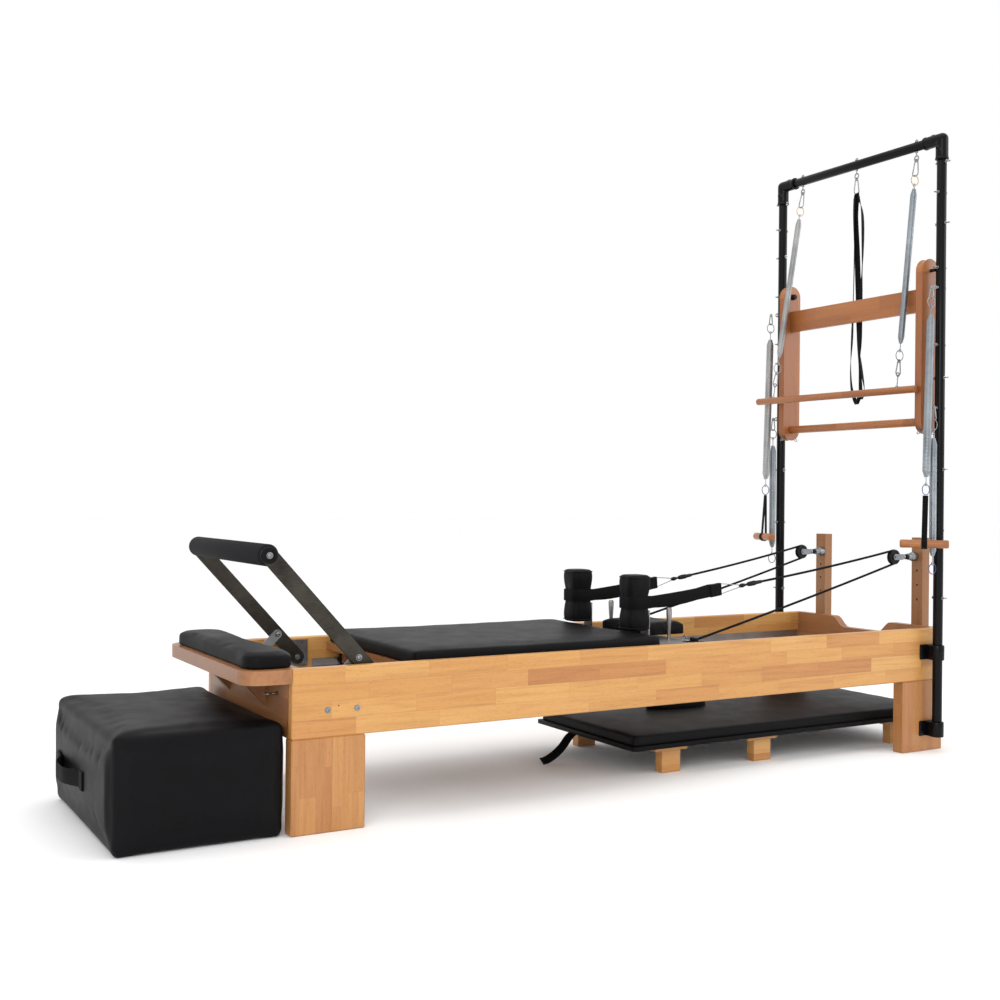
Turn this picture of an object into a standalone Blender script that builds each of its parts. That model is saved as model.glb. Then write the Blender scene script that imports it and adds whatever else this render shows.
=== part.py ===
"""Studio pilates reformer: wooden bed, sliding carriage, footbar, rope pulleys and half tower
with push-through bar, roll-down bar and springs, plus its sitting box and floor mat.

X runs from the foot end to the head end, Y across the bed and Z up. The sizes below are in the
bed's own frame: X = 0 at the foot end of the rails, Y = 0 on the centre line, Z = 0 on the floor.
One empty then moves everything so that the origin is under the middle of the whole object.
"""

import math

import bmesh
import bpy
from mathutils import Matrix, Vector

SIDES = (("near", -1), ("far", 1))
GAP = 0.0003          # between pieces that touch
RUNNING = 0.0005      # radial clearance of a pin in its bore
SINK = 0.002          # how far a fused piece runs into the piece that carries it

# Bed
FRAME_LENGTH = 2.322
FRAME_WIDTH = 0.680
RAIL_TOP = 0.409
RAIL_HEIGHT = 0.173
BOARD = 0.027
HEAD_BOARD = 0.030
LEG_THICK = 0.044
FOOT_LEG_DEPTH = 0.1965
HEAD_LEG_DEPTH = 0.189
EDGE_ROUND = 0.003
SCOOP_HALF = 0.138
SCOOP_FLAT_HALF = 0.082
SCOOP_DEPTH = 0.037

# Foot platform
PLATFORM_REACH = 0.120
PLATFORM_THICK = 0.035
PLATFORM_CORNER = 0.055
GUSSET_SIZE = 0.080
GUSSET_THICK = 0.020
GUSSET_Y = 0.150
STEP_PAD_X = (-0.115, 0.030)
STEP_PAD_INSET = 0.014     # from the rails' outer faces
STEP_PAD_THICK = 0.040

# Carriage track and wheels
TRACK_START = 0.310
TRACK_END_INSET = 0.036
TRACK_WEB = 0.003
TRACK_LEDGE = 0.022
TRACK_DROP = 0.067         # from the top of the rails
TRACK_WEB_HEIGHT = 0.064
TRACK_LEDGE_DROP = 0.094
TRACK_LEDGE_THICK = 0.004
WHEEL_RADIUS = 0.024
WHEEL_WIDTH = 0.015
WHEEL_SIDE_GAP = 0.002
AXLE_RADIUS = 0.005

# Carriage
CARRIAGE_START = 0.346
CUSHION_LENGTH = 0.827
CUSHION_SIDE_GAP = 0.008
CUSHION_THICK = 0.0405
BASE_THICK = 0.023
BASE_LIFT = 0.0057         # from the top of the wheels
BASE_SIDE_GAP = 0.013
BASE_INSET = 0.006
TONGUE_LENGTH = 0.215
TONGUE_INSET = 0.063       # from the rails' inner faces
FRONT_AXLE_INSET = 0.070
REAR_AXLE_INSET = 0.085
HANGER_THICK = 0.020
HANGER_DEPTH = 0.040
HANGER_GAP = 0.006         # from a wheel to its hanger
HANGER_BELOW = 0.012       # below the axle
SPRING_ANCHOR_INSET = 0.500
SPRING_ANCHOR_THICK = 0.015
SPRING_BAR_X = 0.283
SPRING_BAR_THICK = 0.020
SPRING_BAR_HEIGHT = 0.028
SPRING_BAR_DROP = 0.095    # from the top of the rails

# Shoulder rests, head plate, pegs, straps and headrest
REST_DEPTH = 0.076
REST_WIDTH = 0.080
REST_HEIGHT = 0.170
REST_Y = 0.154
REST_OVERHANG = 0.031      # how far a rest reaches past the cushion's head end
REST_LIFT = 0.0015
REST_CORNER = 0.014
WAIST = 0.86
PLATE_GAP = 0.003
PLATE_LENGTH = 0.169
PLATE_INSET = 0.078        # from the rails' inner faces
PLATE_THICK = 0.006
POST_GAP = 0.002
POST_PLATE = 0.005
POST_WIDTH = 0.040
POST_HEIGHT = 0.100
PEG_INSET = 0.045
PEG_RADIUS = 0.009
PEG_HEIGHT = 0.104
STRAP_GAP = 0.001
STRAP_THICK = 0.004
STRAP_HEIGHT = 0.036
STRAP_RISE = 0.032
STRAP_REACH = 0.285        # from the rest's back to the end of the strap
STRAP_END_Y = 0.1656
STRAP_END_HALF = 0.003
HEADREST_LENGTH = 0.196
HEADREST_HALF = 0.113
HEADREST_THICK = 0.038
HEADREST_LIFT = 0.009
HEADREST_GAP = 0.043       # from the cushion's head end to the headrest

# Footbar
FOOT_PIVOT_X = 0.257
FOOT_PIVOT_DROP = 0.057    # from the top of the rails
FOOT_GRIP_X = -0.048
FOOT_GRIP_RISE = 0.277     # from the top of the rails
ARM_INSET = 0.013          # from the rails' inner faces
ARM_THICK = 0.008
ARM_WIDTH = 0.040
GRIP_RADIUS = 0.0275
PIVOT_PIN_RADIUS = 0.006
BRACKET_LENGTH = 0.064
BRACKET_AHEAD = 0.003      # from the pivot towards the head end
BRACKET_HEIGHT = 0.077
BRACKET_DROP = 0.007       # from the top of the rails
STRUT_BOLT_UP_ARM = 0.097
STRUT_LENGTH = 0.165
STRUT_ANGLE = math.radians(224.0)
STRUT_WIDTH = 0.024
STRUT_THICK = 0.006
STRUT_SIDE_GAP = 0.0015    # from an arm to its strut link
STRUT_PIN_RADIUS = 0.005
STRUT_ROD_RADIUS = 0.006
RACK_INSET = 0.040         # from the arms
RACK_DROP = 0.049          # from the strut's rod
RACK_ABOVE = 0.012         # lengths of the notch's two walls and of its lip
RACK_BELOW = 0.008
RACK_LIP = 0.010
RACK_WALL = 0.011

# Risers, pulleys and ropes
RISER_INSET = 0.1114       # from the rails' outer faces
RISER_WIDTH = 0.047
RISER_THICK = 0.034
RISER_RISE = 0.301         # from the top of the rails
RISER_HOLE_RADIUS = 0.004
RISER_HOLE_DEPTH = 0.012
RISER_HOLE_DROPS = (0.114, 0.164, 0.214)
PULLEY_INWARD = 0.0081     # from a riser's middle
PULLEY_DROP = 0.066        # from a riser's top
PULLEY_INSET = 0.1063      # from the head end back to the sheave's axle
SHEAVE_RADIUS = 0.025
GROOVE_DEPTH = 0.007
GROOVE_HALF = 0.0055
SHEAVE_HALF = 0.0075
SHEAVE_PIN_RADIUS = 0.003
CHEEK_GAP = 0.001
CHEEK_THICK = 0.002
CHEEK_HEIGHT = 0.022
BRIDGE_GAP = 0.004         # from the sheave's rim to the bridge between the cheeks
BRIDGE_THICK = 0.006
SWIVEL_GAP = 0.0215        # from the sheave's rim to the middle of the swivel ball
SWIVEL_BALL = 0.010
ROPE_RADIUS = 0.004
ROPE_START_GAP = 0.005
CLEAT_BACK = 0.022         # from the end of the tongue to the rope's end
CLEAT_INSET = 0.035        # from the tongue's edges
CLEAT_LIFT = 0.002         # from the plate to the rope's underside
ROPE_SAG = 0.004

# Tower
POST_RADIUS = 0.016
POST_INSET = 0.0677        # from the head end back to the posts
POST_SIDE = 0.037          # from the rail's outer face to a post's axis
TOWER_HEIGHT = 2.045
POST_FOOT = 0.052
ELBOW_RADIUS = 0.023
ELBOW_SLEEVE = 0.070
CLAMP_FLANGE = 0.090
CLAMP_THICK = 0.004
CLAMP_BLOCK = 0.048
CLAMP_HEIGHT = 0.050
CLAMP_WALL = 0.006
UPPER_CLAMP_DROP = 0.102   # from the top of the rails
LOWER_CLAMP_Z = 0.052

# Push-through bar
PUSH_AHEAD = 0.0073        # from the posts' axis towards the foot end
PUSH_PIVOT_DROP = 0.435    # from the top bar
PUSH_LENGTH = 0.506        # from the pivot to the dowel
PUSH_WIDTH = 0.074
PUSH_THICK = 0.027
PUSH_SIDE_GAP = 0.021
PUSH_BOARD_DROP = 0.056    # from the pivot
PUSH_BOARD_HEIGHT = 0.078
PUSH_BOARD_THICK = 0.022
PUSH_DOWEL_RADIUS = 0.014
KNOB_RADIUS = 0.010
KNOB_LENGTH = 0.018

# Roll-down bar, its springs, the loops and the side springs
EYE_DROP = 0.045           # from the top bar to its eyes
EYE_THICK = 0.006
ROLL_EYE_INSET = 0.043     # from the push-through arms
ROLL_HANG = 0.7885         # from the eyes to the bar
ROLL_BAR_OVERHANG = 0.052  # past the push-through arms
ROLL_BAR_RADIUS = 0.0125
ROLL_BAR_SHIFT = 0.035
ROLL_HOOK_INSET = 0.028
ROLL_REST_GAP = 0.007      # from the push-through arms to the bar at its near hook
ROLL_FAR_AHEAD = 0.030     # how much further forward the far hook hangs
ROLL_COIL = (0.100, 0.630)   # start and end of the coil below the eye
ROLL_SPRING_RADIUS = 0.011
HOOK_RADIUS = 0.003
LOOP_WIDTH = 0.046
LOOP_THICK = 0.007
LOOP_START = 0.015
LOOP_HANG = 0.810          # from the eye
LOOP_GAP = 0.006           # behind the push-through crossboard
LOOP_BULGE = 0.4
SIDE_EYE_OUT = 0.006       # outside the posts' axis
HAND_EYE_AHEAD = 0.0513
HAND_EYE_DROP = 0.497      # from the top bar
HAND_LEAN = math.radians(1.7)
HAND_COIL_START = 0.096    # below the eye
HAND_COIL_END = 0.221      # above the handle
HAND_SPRING_RADIUS = 0.0135
HANDLE_RISE = 0.286        # from the top of the rails
HANDLE_LENGTH = 0.154
HANDLE_RADIUS = 0.014
HANDLE_YAW = {"near": math.radians(-50.0), "far": math.radians(71.0)}
LEG_EYE_AHEAD = 0.0358
LEG_EYE_DROP = 0.897       # from the top bar
LEG_COIL_START = 0.103     # below the eye
LEG_COIL_END = 0.055       # above the hook's end
LEG_SPRING_RADIUS = 0.0125
LEG_END_RISE = 0.191       # from the top of the rails

# Sitting box and floor mat
BOX_LENGTH = 0.430
BOX_INSET = 0.003          # from the rails' outer faces
BOX_CLEARANCE = 0.009      # under the platform's gussets
BOX_GAP = 0.003
BOX_ROUND = 0.016
BOX_HANDLE_Y = 0.085
BOX_HANDLE_HALF = 0.150
BOX_HANDLE_Z = 0.127
BOX_HANDLE_BULGE = 0.025
BOX_HANDLE_THICK = 0.006
BOX_HANDLE_HEIGHT = 0.040
MAT_LENGTH = 1.292
MAT_OVERHANG = 0.073       # past the head end
MAT_SIDE_GAPS = (0.053, 0.004)   # from the near and the far head leg
MAT_BOTTOM = 0.085
MAT_THICK = 0.047
MAT_PLATE_THICK = 0.009
MAT_PLATE_INSET = 0.006
MAT_FOOT_X = (0.174, 0.542, 1.160)
MAT_FOOT_INSETS = (0.059, 0.020) # from the mat's near and far edges
MAT_FOOT_DEPTH = 0.034
MAT_FOOT_WIDTH = 0.070
MAT_BATTEN_WIDTH = 0.122
MAT_BATTEN_THICK = 0.018

# Derived places
HALF_WIDTH = FRAME_WIDTH / 2
RAIL_INNER = HALF_WIDTH - BOARD
RAIL_BOTTOM = RAIL_TOP - RAIL_HEIGHT
LEG_INNER = HALF_WIDTH - LEG_THICK
STEP_PAD_HALF = HALF_WIDTH - STEP_PAD_INSET
TRACK_TOP = RAIL_TOP - TRACK_DROP
TRACK_LEDGE_TOP = RAIL_TOP - TRACK_LEDGE_DROP
SPRING_BAR_TOP = RAIL_TOP - SPRING_BAR_DROP
SPRING_BAR_Z = (SPRING_BAR_TOP - SPRING_BAR_HEIGHT, SPRING_BAR_TOP)

CUSHION_END = CARRIAGE_START + CUSHION_LENGTH
CUSHION_HALF = RAIL_INNER - CUSHION_SIDE_GAP
TONGUE_HALF = RAIL_INNER - TONGUE_INSET
TONGUE_END = CUSHION_END + TONGUE_LENGTH
WHEEL_OUTER = RAIL_INNER - TRACK_WEB - WHEEL_SIDE_GAP
WHEEL_INNER = WHEEL_OUTER - WHEEL_WIDTH
WHEEL_Z = TRACK_LEDGE_TOP + GAP + WHEEL_RADIUS
BASE_BOTTOM = WHEEL_Z + WHEEL_RADIUS + BASE_LIFT
BASE_Z = (BASE_BOTTOM, BASE_BOTTOM + BASE_THICK)
CUSHION_Z = (BASE_Z[1] + GAP, BASE_Z[1] + GAP + CUSHION_THICK)
REST_X = (CUSHION_END + REST_OVERHANG - REST_DEPTH, CUSHION_END + REST_OVERHANG)
REST_Z = (CUSHION_Z[1] + REST_LIFT, CUSHION_Z[1] + REST_LIFT + REST_HEIGHT)
PLATE_HALF = RAIL_INNER - PLATE_INSET
PLATE_X = (CUSHION_END + PLATE_GAP, CUSHION_END + PLATE_GAP + PLATE_LENGTH)
PLATE_Z = (BASE_Z[1] + GAP, BASE_Z[1] + GAP + PLATE_THICK)
STRAP_END_X = REST_X[1] + STRAP_REACH
STRAP_Z = REST_Z[0] + REST_HEIGHT / 2

FOOT_PIVOT = (FOOT_PIVOT_X, RAIL_TOP - FOOT_PIVOT_DROP)
FOOT_GRIP = (FOOT_GRIP_X, RAIL_TOP + FOOT_GRIP_RISE)
ARM_Y = RAIL_INNER - ARM_INSET
ARM_INNER = ARM_Y - ARM_THICK / 2
ARM_OUTER = ARM_Y + ARM_THICK / 2
LINK_OUTER = ARM_INNER - STRUT_SIDE_GAP
LINK_INNER = LINK_OUTER - STRUT_THICK
RACK_HALF = ARM_Y - RACK_INSET
BRACKET_Z = (RAIL_TOP - BRACKET_DROP - BRACKET_HEIGHT, RAIL_TOP - BRACKET_DROP)

RISER_Y = HALF_WIDTH - RISER_INSET
RISER_TOP = RAIL_TOP + RISER_RISE
PULLEY_X = FRAME_LENGTH - PULLEY_INSET
PULLEY_Y = RISER_Y - PULLEY_INWARD
PULLEY_Z = RISER_TOP - PULLEY_DROP
GROOVE_RADIUS = SHEAVE_RADIUS - GROOVE_DEPTH
BRIDGE_X = PULLEY_X + SHEAVE_RADIUS + BRIDGE_GAP
SWIVEL_X = PULLEY_X + SHEAVE_RADIUS + SWIVEL_GAP
CLEAT_Y = TONGUE_HALF - CLEAT_INSET

POST_X = FRAME_LENGTH - POST_INSET
POST_Y = HALF_WIDTH + POST_SIDE
CLAMP_PLACES = (RAIL_TOP - UPPER_CLAMP_DROP, LOWER_CLAMP_Z)
EYE_Z = TOWER_HEIGHT - EYE_DROP
PUSH_OUTER = POST_Y - POST_RADIUS - PUSH_SIDE_GAP
PUSH_INNER = PUSH_OUTER - PUSH_THICK
PUSH_X = POST_X - PUSH_AHEAD
PUSH_FRONT = PUSH_X - PUSH_WIDTH / 2
PUSH_PIVOT_Z = TOWER_HEIGHT - PUSH_PIVOT_DROP
PUSH_FOOT_Z = PUSH_PIVOT_Z - PUSH_LENGTH
PUSH_BOARD_TOP = PUSH_PIVOT_Z - PUSH_BOARD_DROP
ROLL_EYE_Y = PUSH_INNER - ROLL_EYE_INSET
ROLL_HOOK_Y = PUSH_INNER - ROLL_HOOK_INSET
ROLL_BAR_LENGTH = 2 * (PUSH_INNER + ROLL_BAR_OVERHANG)
ROLL_BAR_X = PUSH_FRONT - ROLL_REST_GAP - ROLL_BAR_RADIUS
ROLL_BAR_Z = EYE_Z - ROLL_HANG
SIDE_EYE_Y = POST_Y + SIDE_EYE_OUT
HAND_EYE_X = POST_X - HAND_EYE_AHEAD
HAND_EYE_Z = TOWER_HEIGHT - HAND_EYE_DROP
HAND_DROP = (HAND_EYE_Z - RAIL_TOP - HANDLE_RISE) / math.cos(HAND_LEAN)
HAND_COIL = (HAND_COIL_START, HAND_DROP - HAND_COIL_END)
LEG_EYE_X = POST_X - LEG_EYE_AHEAD
LEG_EYE_Z = TOWER_HEIGHT - LEG_EYE_DROP
LEG_DROP = LEG_EYE_Z - RAIL_TOP - LEG_END_RISE
LEG_COIL = (LEG_COIL_START, LEG_DROP - LEG_COIL_END)
HANDLE_TIP_Y = {
    side: HANDLE_LENGTH / 2 * abs(math.sin(yaw)) + HANDLE_RADIUS * abs(math.cos(yaw))
    for side, yaw in HANDLE_YAW.items()
}

BOX_HALF = HALF_WIDTH - BOX_INSET
BOX_HEIGHT = RAIL_TOP - PLATFORM_THICK - GUSSET_SIZE - BOX_CLEARANCE
MAT_X = (FRAME_LENGTH + MAT_OVERHANG - MAT_LENGTH, FRAME_LENGTH + MAT_OVERHANG)
MAT_Y = (MAT_SIDE_GAPS[0] - LEG_INNER, LEG_INNER - MAT_SIDE_GAPS[1])
MAT_FOOT_Y = (MAT_Y[0] + MAT_FOOT_INSETS[0], MAT_Y[1] - MAT_FOOT_INSETS[1])

FOOT_END = -BOX_GAP - BOX_LENGTH - BOX_HANDLE_BULGE - BOX_HANDLE_THICK
CENTRE_X = (FOOT_END + MAT_X[1]) / 2
CENTRE_Y = (HANDLE_TIP_Y["far"] - HANDLE_TIP_Y["near"]) / 2


# ---- Scene, materials and mesh helpers

def clear_scene():
    for obj in list(bpy.data.objects):
        bpy.data.objects.remove(obj, do_unlink=True)


def material(name, colour, roughness, metallic=0.0):
    mat = bpy.data.materials.new(name)
    mat.use_nodes = True
    shader = mat.node_tree.nodes["Principled BSDF"]
    shader.inputs["Base Color"].default_value = (*colour, 1.0)
    shader.inputs["Roughness"].default_value = roughness
    shader.inputs["Metallic"].default_value = metallic
    return mat


def add(name, bm, mat, pivot=(0.0, 0.0, 0.0), smooth=True):
    """Link a mesh modelled in the bed's frame as an object whose origin is at pivot."""
    bmesh.ops.recalc_face_normals(bm, faces=bm.faces)
    bmesh.ops.translate(bm, verts=bm.verts, vec=-Vector(pivot))
    mesh = bpy.data.meshes.new(name)
    bm.to_mesh(mesh)
    bm.free()
    if smooth:
        mesh.shade_smooth()
        mesh.set_sharp_from_angle(angle=math.radians(35))
    obj = bpy.data.objects.new(name, mesh)
    bpy.context.collection.objects.link(obj)
    obj.location = pivot
    obj.parent = CENTRE
    if mat:
        mesh.materials.append(mat)
    return obj


def combine(obj, bm, operation):
    """Boolean a second mesh, modelled in the bed's frame, into or out of obj."""
    helper = add(f"{operation.lower()}_{len(obj.modifiers)}_{obj.name}", bm, None)
    helper.hide_render = True
    helper.display_type = "WIRE"
    modifier = obj.modifiers.new(operation.title(), "BOOLEAN")
    modifier.operation = operation
    modifier.solver = "EXACT"
    modifier.object = helper
    return obj


def fuse(obj, bm):
    return combine(obj, bm, "UNION")


def cut(obj, bm):
    return combine(obj, bm, "DIFFERENCE")


def soften(obj, width, segments=1):
    modifier = obj.modifiers.new("Bevel", "BEVEL")
    modifier.width = width
    modifier.segments = segments
    modifier.limit_method = "ANGLE"
    modifier.angle_limit = math.radians(50)
    return obj


def between(side, inner, outer):
    """Y range of a piece on one side, from two distances off the centre line."""
    return tuple(sorted((side * inner, side * outer)))


def centred(middle, size):
    return (middle - size / 2, middle + size / 2)


def box(x, y, z, bm=None):
    bm = bm or bmesh.new()
    size = Matrix.Diagonal((x[1] - x[0], y[1] - y[0], z[1] - z[0], 1.0))
    middle = Matrix.Translation(((x[0] + x[1]) / 2, (y[0] + y[1]) / 2, (z[0] + z[1]) / 2))
    bmesh.ops.create_cube(bm, size=1.0, matrix=middle @ size)
    return bm


def loft(rings, bm=None):
    """Skin a list of rings with equal point counts and close both ends."""
    bm = bm or bmesh.new()
    loops = [[bm.verts.new(point) for point in ring] for ring in rings]
    count = len(loops[0])
    for first, second in zip(loops, loops[1:]):
        for i in range(count):
            j = (i + 1) % count
            bm.faces.new((first[i], first[j], second[j], second[i]))
    bm.faces.new(loops[0])
    bm.faces.new(reversed(loops[-1]))
    return bm


def prism(outline, axis, span, bm=None):
    """Extrude an outline along an axis. The outline holds the other two coordinates in XYZ order."""
    def place(point, level):
        values = list(point)
        values.insert("XYZ".index(axis), level)
        return Vector(values)
    return loft([[place(point, level) for point in outline] for level in span], bm)


def arc(centre, radius, start, end, steps):
    """Points along an arc, with angles in degrees."""
    angles = [math.radians(start + (end - start) * i / steps) for i in range(steps + 1)]
    return [(centre[0] + radius * math.cos(a), centre[1] + radius * math.sin(a)) for a in angles]


def rounded_rectangle(x, y, radius, steps=4, corners=(True, True, True, True)):
    """Outline with its corners rounded, in the order +X+Y, -X+Y, -X-Y, +X-Y."""
    places = ((x[1], y[1], -1, -1), (x[0], y[1], 1, -1), (x[0], y[0], 1, 1), (x[1], y[0], -1, 1))
    outline = []
    for quarter, (px, py, sx, sy) in enumerate(places):
        if corners[quarter]:
            start = 90 * quarter
            outline += arc((px + sx * radius, py + sy * radius), radius, start, start + 90, steps)
        else:
            outline.append((px, py))
    return outline


def stadium(start, end, width, steps=8):
    """Outline of a flat bar with round ends whose centres are start and end."""
    heading = math.degrees(math.atan2(end[1] - start[1], end[0] - start[0]))
    return (arc(end, width / 2, heading - 90, heading + 90, steps)
            + arc(start, width / 2, heading + 90, heading + 270, steps))


def turned(start, direction, profile, segments=16, bm=None):
    """Revolve (distance, radius) pairs about the line from start along direction."""
    turn = Vector((0, 0, 1)).rotation_difference(Vector(direction)).to_matrix()
    rings = []
    for distance, radius in profile:
        ring = []
        for i in range(segments):
            angle = 2 * math.pi * i / segments
            local = Vector((radius * math.cos(angle), radius * math.sin(angle), distance))
            ring.append(Vector(start) + turn @ local)
        rings.append(ring)
    return loft(rings, bm)


def rod(start, end, radius, segments=16, bm=None):
    direction = Vector(end) - Vector(start)
    return turned(start, direction, ((0, radius), (direction.length, radius)), segments, bm)


def across(x, z, inner, outer, radius, side=1, segments=16, bm=None):
    """A rod along Y at (x, z) between two distances off the centre line."""
    return rod((x, side * inner, z), (x, side * outer, z), radius, segments, bm)


# ---- Bed

def side_rails():
    for name, side in SIDES:
        bm = box((0, FRAME_LENGTH), between(side, RAIL_INNER, HALF_WIDTH), (RAIL_BOTTOM, RAIL_TOP))
        soften(add(f"{name}_side_rail", bm, BEECH), EDGE_ROUND)


def legs():
    ends = (("foot", 0, FOOT_LEG_DEPTH), ("head", FRAME_LENGTH - HEAD_LEG_DEPTH, FRAME_LENGTH))
    for end, start, stop in ends:
        for name, side in SIDES:
            bm = box((start, stop), between(side, LEG_INNER, HALF_WIDTH), (0, RAIL_BOTTOM - GAP))
            soften(add(f"{name}_{end}_leg", bm, BEECH), EDGE_ROUND)


def strut_points():
    """Bolt on the footbar arm and rod at the strut's free end, as (x, z)."""
    pivot = Vector(FOOT_PIVOT)
    along = (Vector(FOOT_GRIP) - pivot).normalized()
    bolt = pivot + along * STRUT_BOLT_UP_ARM
    tip = bolt + Vector((math.cos(STRUT_ANGLE), math.sin(STRUT_ANGLE))) * STRUT_LENGTH
    return bolt, tip


def foot_crossboard():
    """Crossboard with the notched ledge that the footbar's strut rests in."""
    half = RAIL_INNER - GAP
    board = add("foot_crossboard", box((0, BOARD), (-half, half), (RAIL_BOTTOM, RAIL_TOP)), BEECH)
    tip = strut_points()[1]
    push = Vector((math.cos(STRUT_ANGLE), math.sin(STRUT_ANGLE)))
    down = Vector((-push.y, push.x))
    touch = tip + push * (STRUT_ROD_RADIUS + GAP)
    upper = touch - down * RACK_ABOVE
    lower = touch + down * RACK_BELOW
    lip = lower - push * RACK_LIP
    shelf = lip.x + RACK_WALL
    root = BOARD - SINK
    outline = [(root, tip.y - RACK_DROP), (shelf, tip.y - RACK_DROP), (shelf, lip.y - RACK_WALL),
               tuple(lip), tuple(lower), tuple(upper), (root, upper.y)]
    fuse(board, prism(outline, "Y", (-RACK_HALF, RACK_HALF)))


def head_endboard():
    """Endboard with a shallow scoop in its top edge for the user's neck and the ropes."""
    half = RAIL_INNER - GAP
    steps = 8
    scoop = []
    for i in range(steps + 1):
        share = i / steps
        y = SCOOP_HALF + (SCOOP_FLAT_HALF - SCOOP_HALF) * share
        scoop.append((y, RAIL_TOP - SCOOP_DEPTH * (1 - math.cos(math.pi * share)) / 2))
    mirrored = [(-y, z) for y, z in reversed(scoop)]
    outline = [(-half, RAIL_BOTTOM), (half, RAIL_BOTTOM), (half, RAIL_TOP)] + scoop + mirrored
    outline.append((-half, RAIL_TOP))
    add("head_endboard", prism(outline, "X", (FRAME_LENGTH - HEAD_BOARD, FRAME_LENGTH)), BEECH)


def standing_platform():
    half = HALF_WIDTH
    top = RAIL_TOP
    bottom = top - PLATFORM_THICK
    outline = rounded_rectangle((-PLATFORM_REACH, -GAP), (-half, half), PLATFORM_CORNER, 5,
                                (False, True, True, False))
    platform = add("standing_platform", prism(outline, "Z", (bottom, top)), BEECH)
    triangle = [(-GAP, bottom + SINK), (-GAP, bottom - GUSSET_SIZE),
                (-GAP - GUSSET_SIZE, bottom + SINK)]
    gussets = bmesh.new()
    for _, side in SIDES:
        prism(triangle, "Y", centred(side * GUSSET_Y, GUSSET_THICK), gussets)
    fuse(platform, gussets)
    pad = rounded_rectangle(STEP_PAD_X, (-STEP_PAD_HALF, STEP_PAD_HALF), PLATFORM_CORNER, 4)
    crown = [(x * 0.94, y * 0.97) for x, y in pad]
    levels = ((pad, top + GAP), (pad, top + STEP_PAD_THICK * 0.55), (crown, top + STEP_PAD_THICK))
    rings = [[(x, y, z) for x, y in outline] for outline, z in levels]
    add("platform_cushion", loft(rings), LEATHER)


def tracks():
    """Aluminium angle on the inside of each rail that the wheels run on."""
    for name, side in SIDES:
        wall = RAIL_INNER - GAP
        low = TRACK_TOP - TRACK_WEB_HEIGHT
        shelf = TRACK_LEDGE_TOP - TRACK_LEDGE_THICK
        profile = [(wall, low), (wall, TRACK_TOP), (wall - TRACK_WEB, TRACK_TOP),
                   (wall - TRACK_WEB, TRACK_LEDGE_TOP), (wall - TRACK_LEDGE, TRACK_LEDGE_TOP),
                   (wall - TRACK_LEDGE, shelf), (wall - TRACK_WEB, shelf), (wall - TRACK_WEB, low)]
        outline = [(side * y, z) for y, z in profile]
        bm = prism(outline, "X", (TRACK_START, FRAME_LENGTH - TRACK_END_INSET))
        add(f"{name}_track", bm, ALUMINIUM)


def spring_bar():
    half = RAIL_INNER - GAP
    bm = box((SPRING_BAR_X, SPRING_BAR_X + SPRING_BAR_THICK), (-half, half), SPRING_BAR_Z)
    soften(add("spring_bar", bm, STEEL), 0.002)


# ---- Carriage

def axle_places():
    return (("front", CARRIAGE_START + FRONT_AXLE_INSET), ("rear", CUSHION_END - REAR_AXLE_INSET))


def carriage_base():
    half = RAIL_INNER - BASE_SIDE_GAP
    start = CARRIAGE_START + BASE_INSET
    outline = [(start, -half), (CUSHION_END, -half), (CUSHION_END, -TONGUE_HALF),
               (TONGUE_END, -TONGUE_HALF), (TONGUE_END, TONGUE_HALF), (CUSHION_END, TONGUE_HALF),
               (CUSHION_END, half), (start, half)]
    base = add("carriage_base", prism(outline, "Z", BASE_Z), BEECH)
    hanger_outer = WHEEL_INNER - HANGER_GAP
    hangers = bmesh.new()
    bores = bmesh.new()
    for _, x in axle_places():
        for _, side in SIDES:
            box(centred(x, HANGER_DEPTH), between(side, hanger_outer - HANGER_THICK, hanger_outer),
                (WHEEL_Z - HANGER_BELOW, BASE_Z[0] + SINK), hangers)
        across(x, WHEEL_Z, -WHEEL_INNER, WHEEL_INNER, AXLE_RADIUS + RUNNING, bm=bores)
    anchor_x = CARRIAGE_START + SPRING_ANCHOR_INSET
    box((anchor_x, anchor_x + SPRING_ANCHOR_THICK), (-TONGUE_HALF, TONGUE_HALF),
        (SPRING_BAR_Z[0], BASE_Z[0] + SINK), hangers)
    fuse(base, hangers)
    cut(base, bores)


def carriage_cushion():
    outline = rounded_rectangle((CARRIAGE_START, CUSHION_END), (-CUSHION_HALF, CUSHION_HALF), 0.022, 3)
    rings = [[(x, y, z) for x, y in outline] for z in CUSHION_Z]
    soften(add("carriage_cushion", loft(rings), LEATHER), 0.005)


def wheelsets():
    """Two wheels and the axle that joins them, turned as one piece about the axle."""
    for name, x in axle_places():
        profile = ((-WHEEL_OUTER, WHEEL_RADIUS), (-WHEEL_INNER, WHEEL_RADIUS),
                   (-WHEEL_INNER, AXLE_RADIUS), (WHEEL_INNER, AXLE_RADIUS),
                   (WHEEL_INNER, WHEEL_RADIUS), (WHEEL_OUTER, WHEEL_RADIUS))
        bm = turned((x, 0, WHEEL_Z), (0, 1, 0), profile, 24)
        add(f"{name}_wheelset", bm, NYLON, (x, 0, WHEEL_Z))


def shoulder_rests():
    """Upholstered blocks with a waist, standing over the cushion's head end."""
    levels = ((0.0, 0.97), (0.06, 1.0), (0.22, 0.98), (0.38, WAIST), (0.62, WAIST), (0.80, 1.0),
              (0.93, 1.0), (1.0, 0.86))
    middle_x = sum(REST_X) / 2
    for name, side in SIDES:
        y = side * REST_Y
        rings = []
        for share, scale in levels:
            half_x = REST_DEPTH / 2 * scale
            half_y = REST_WIDTH / 2 * scale
            outline = rounded_rectangle((middle_x - half_x, middle_x + half_x),
                                        (y - half_y, y + half_y), REST_CORNER * scale, 3)
            rings.append([(px, py, REST_Z[0] + REST_HEIGHT * share) for px, py in outline])
        add(f"{name}_shoulder_rest", loft(rings), LEATHER)


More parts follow.
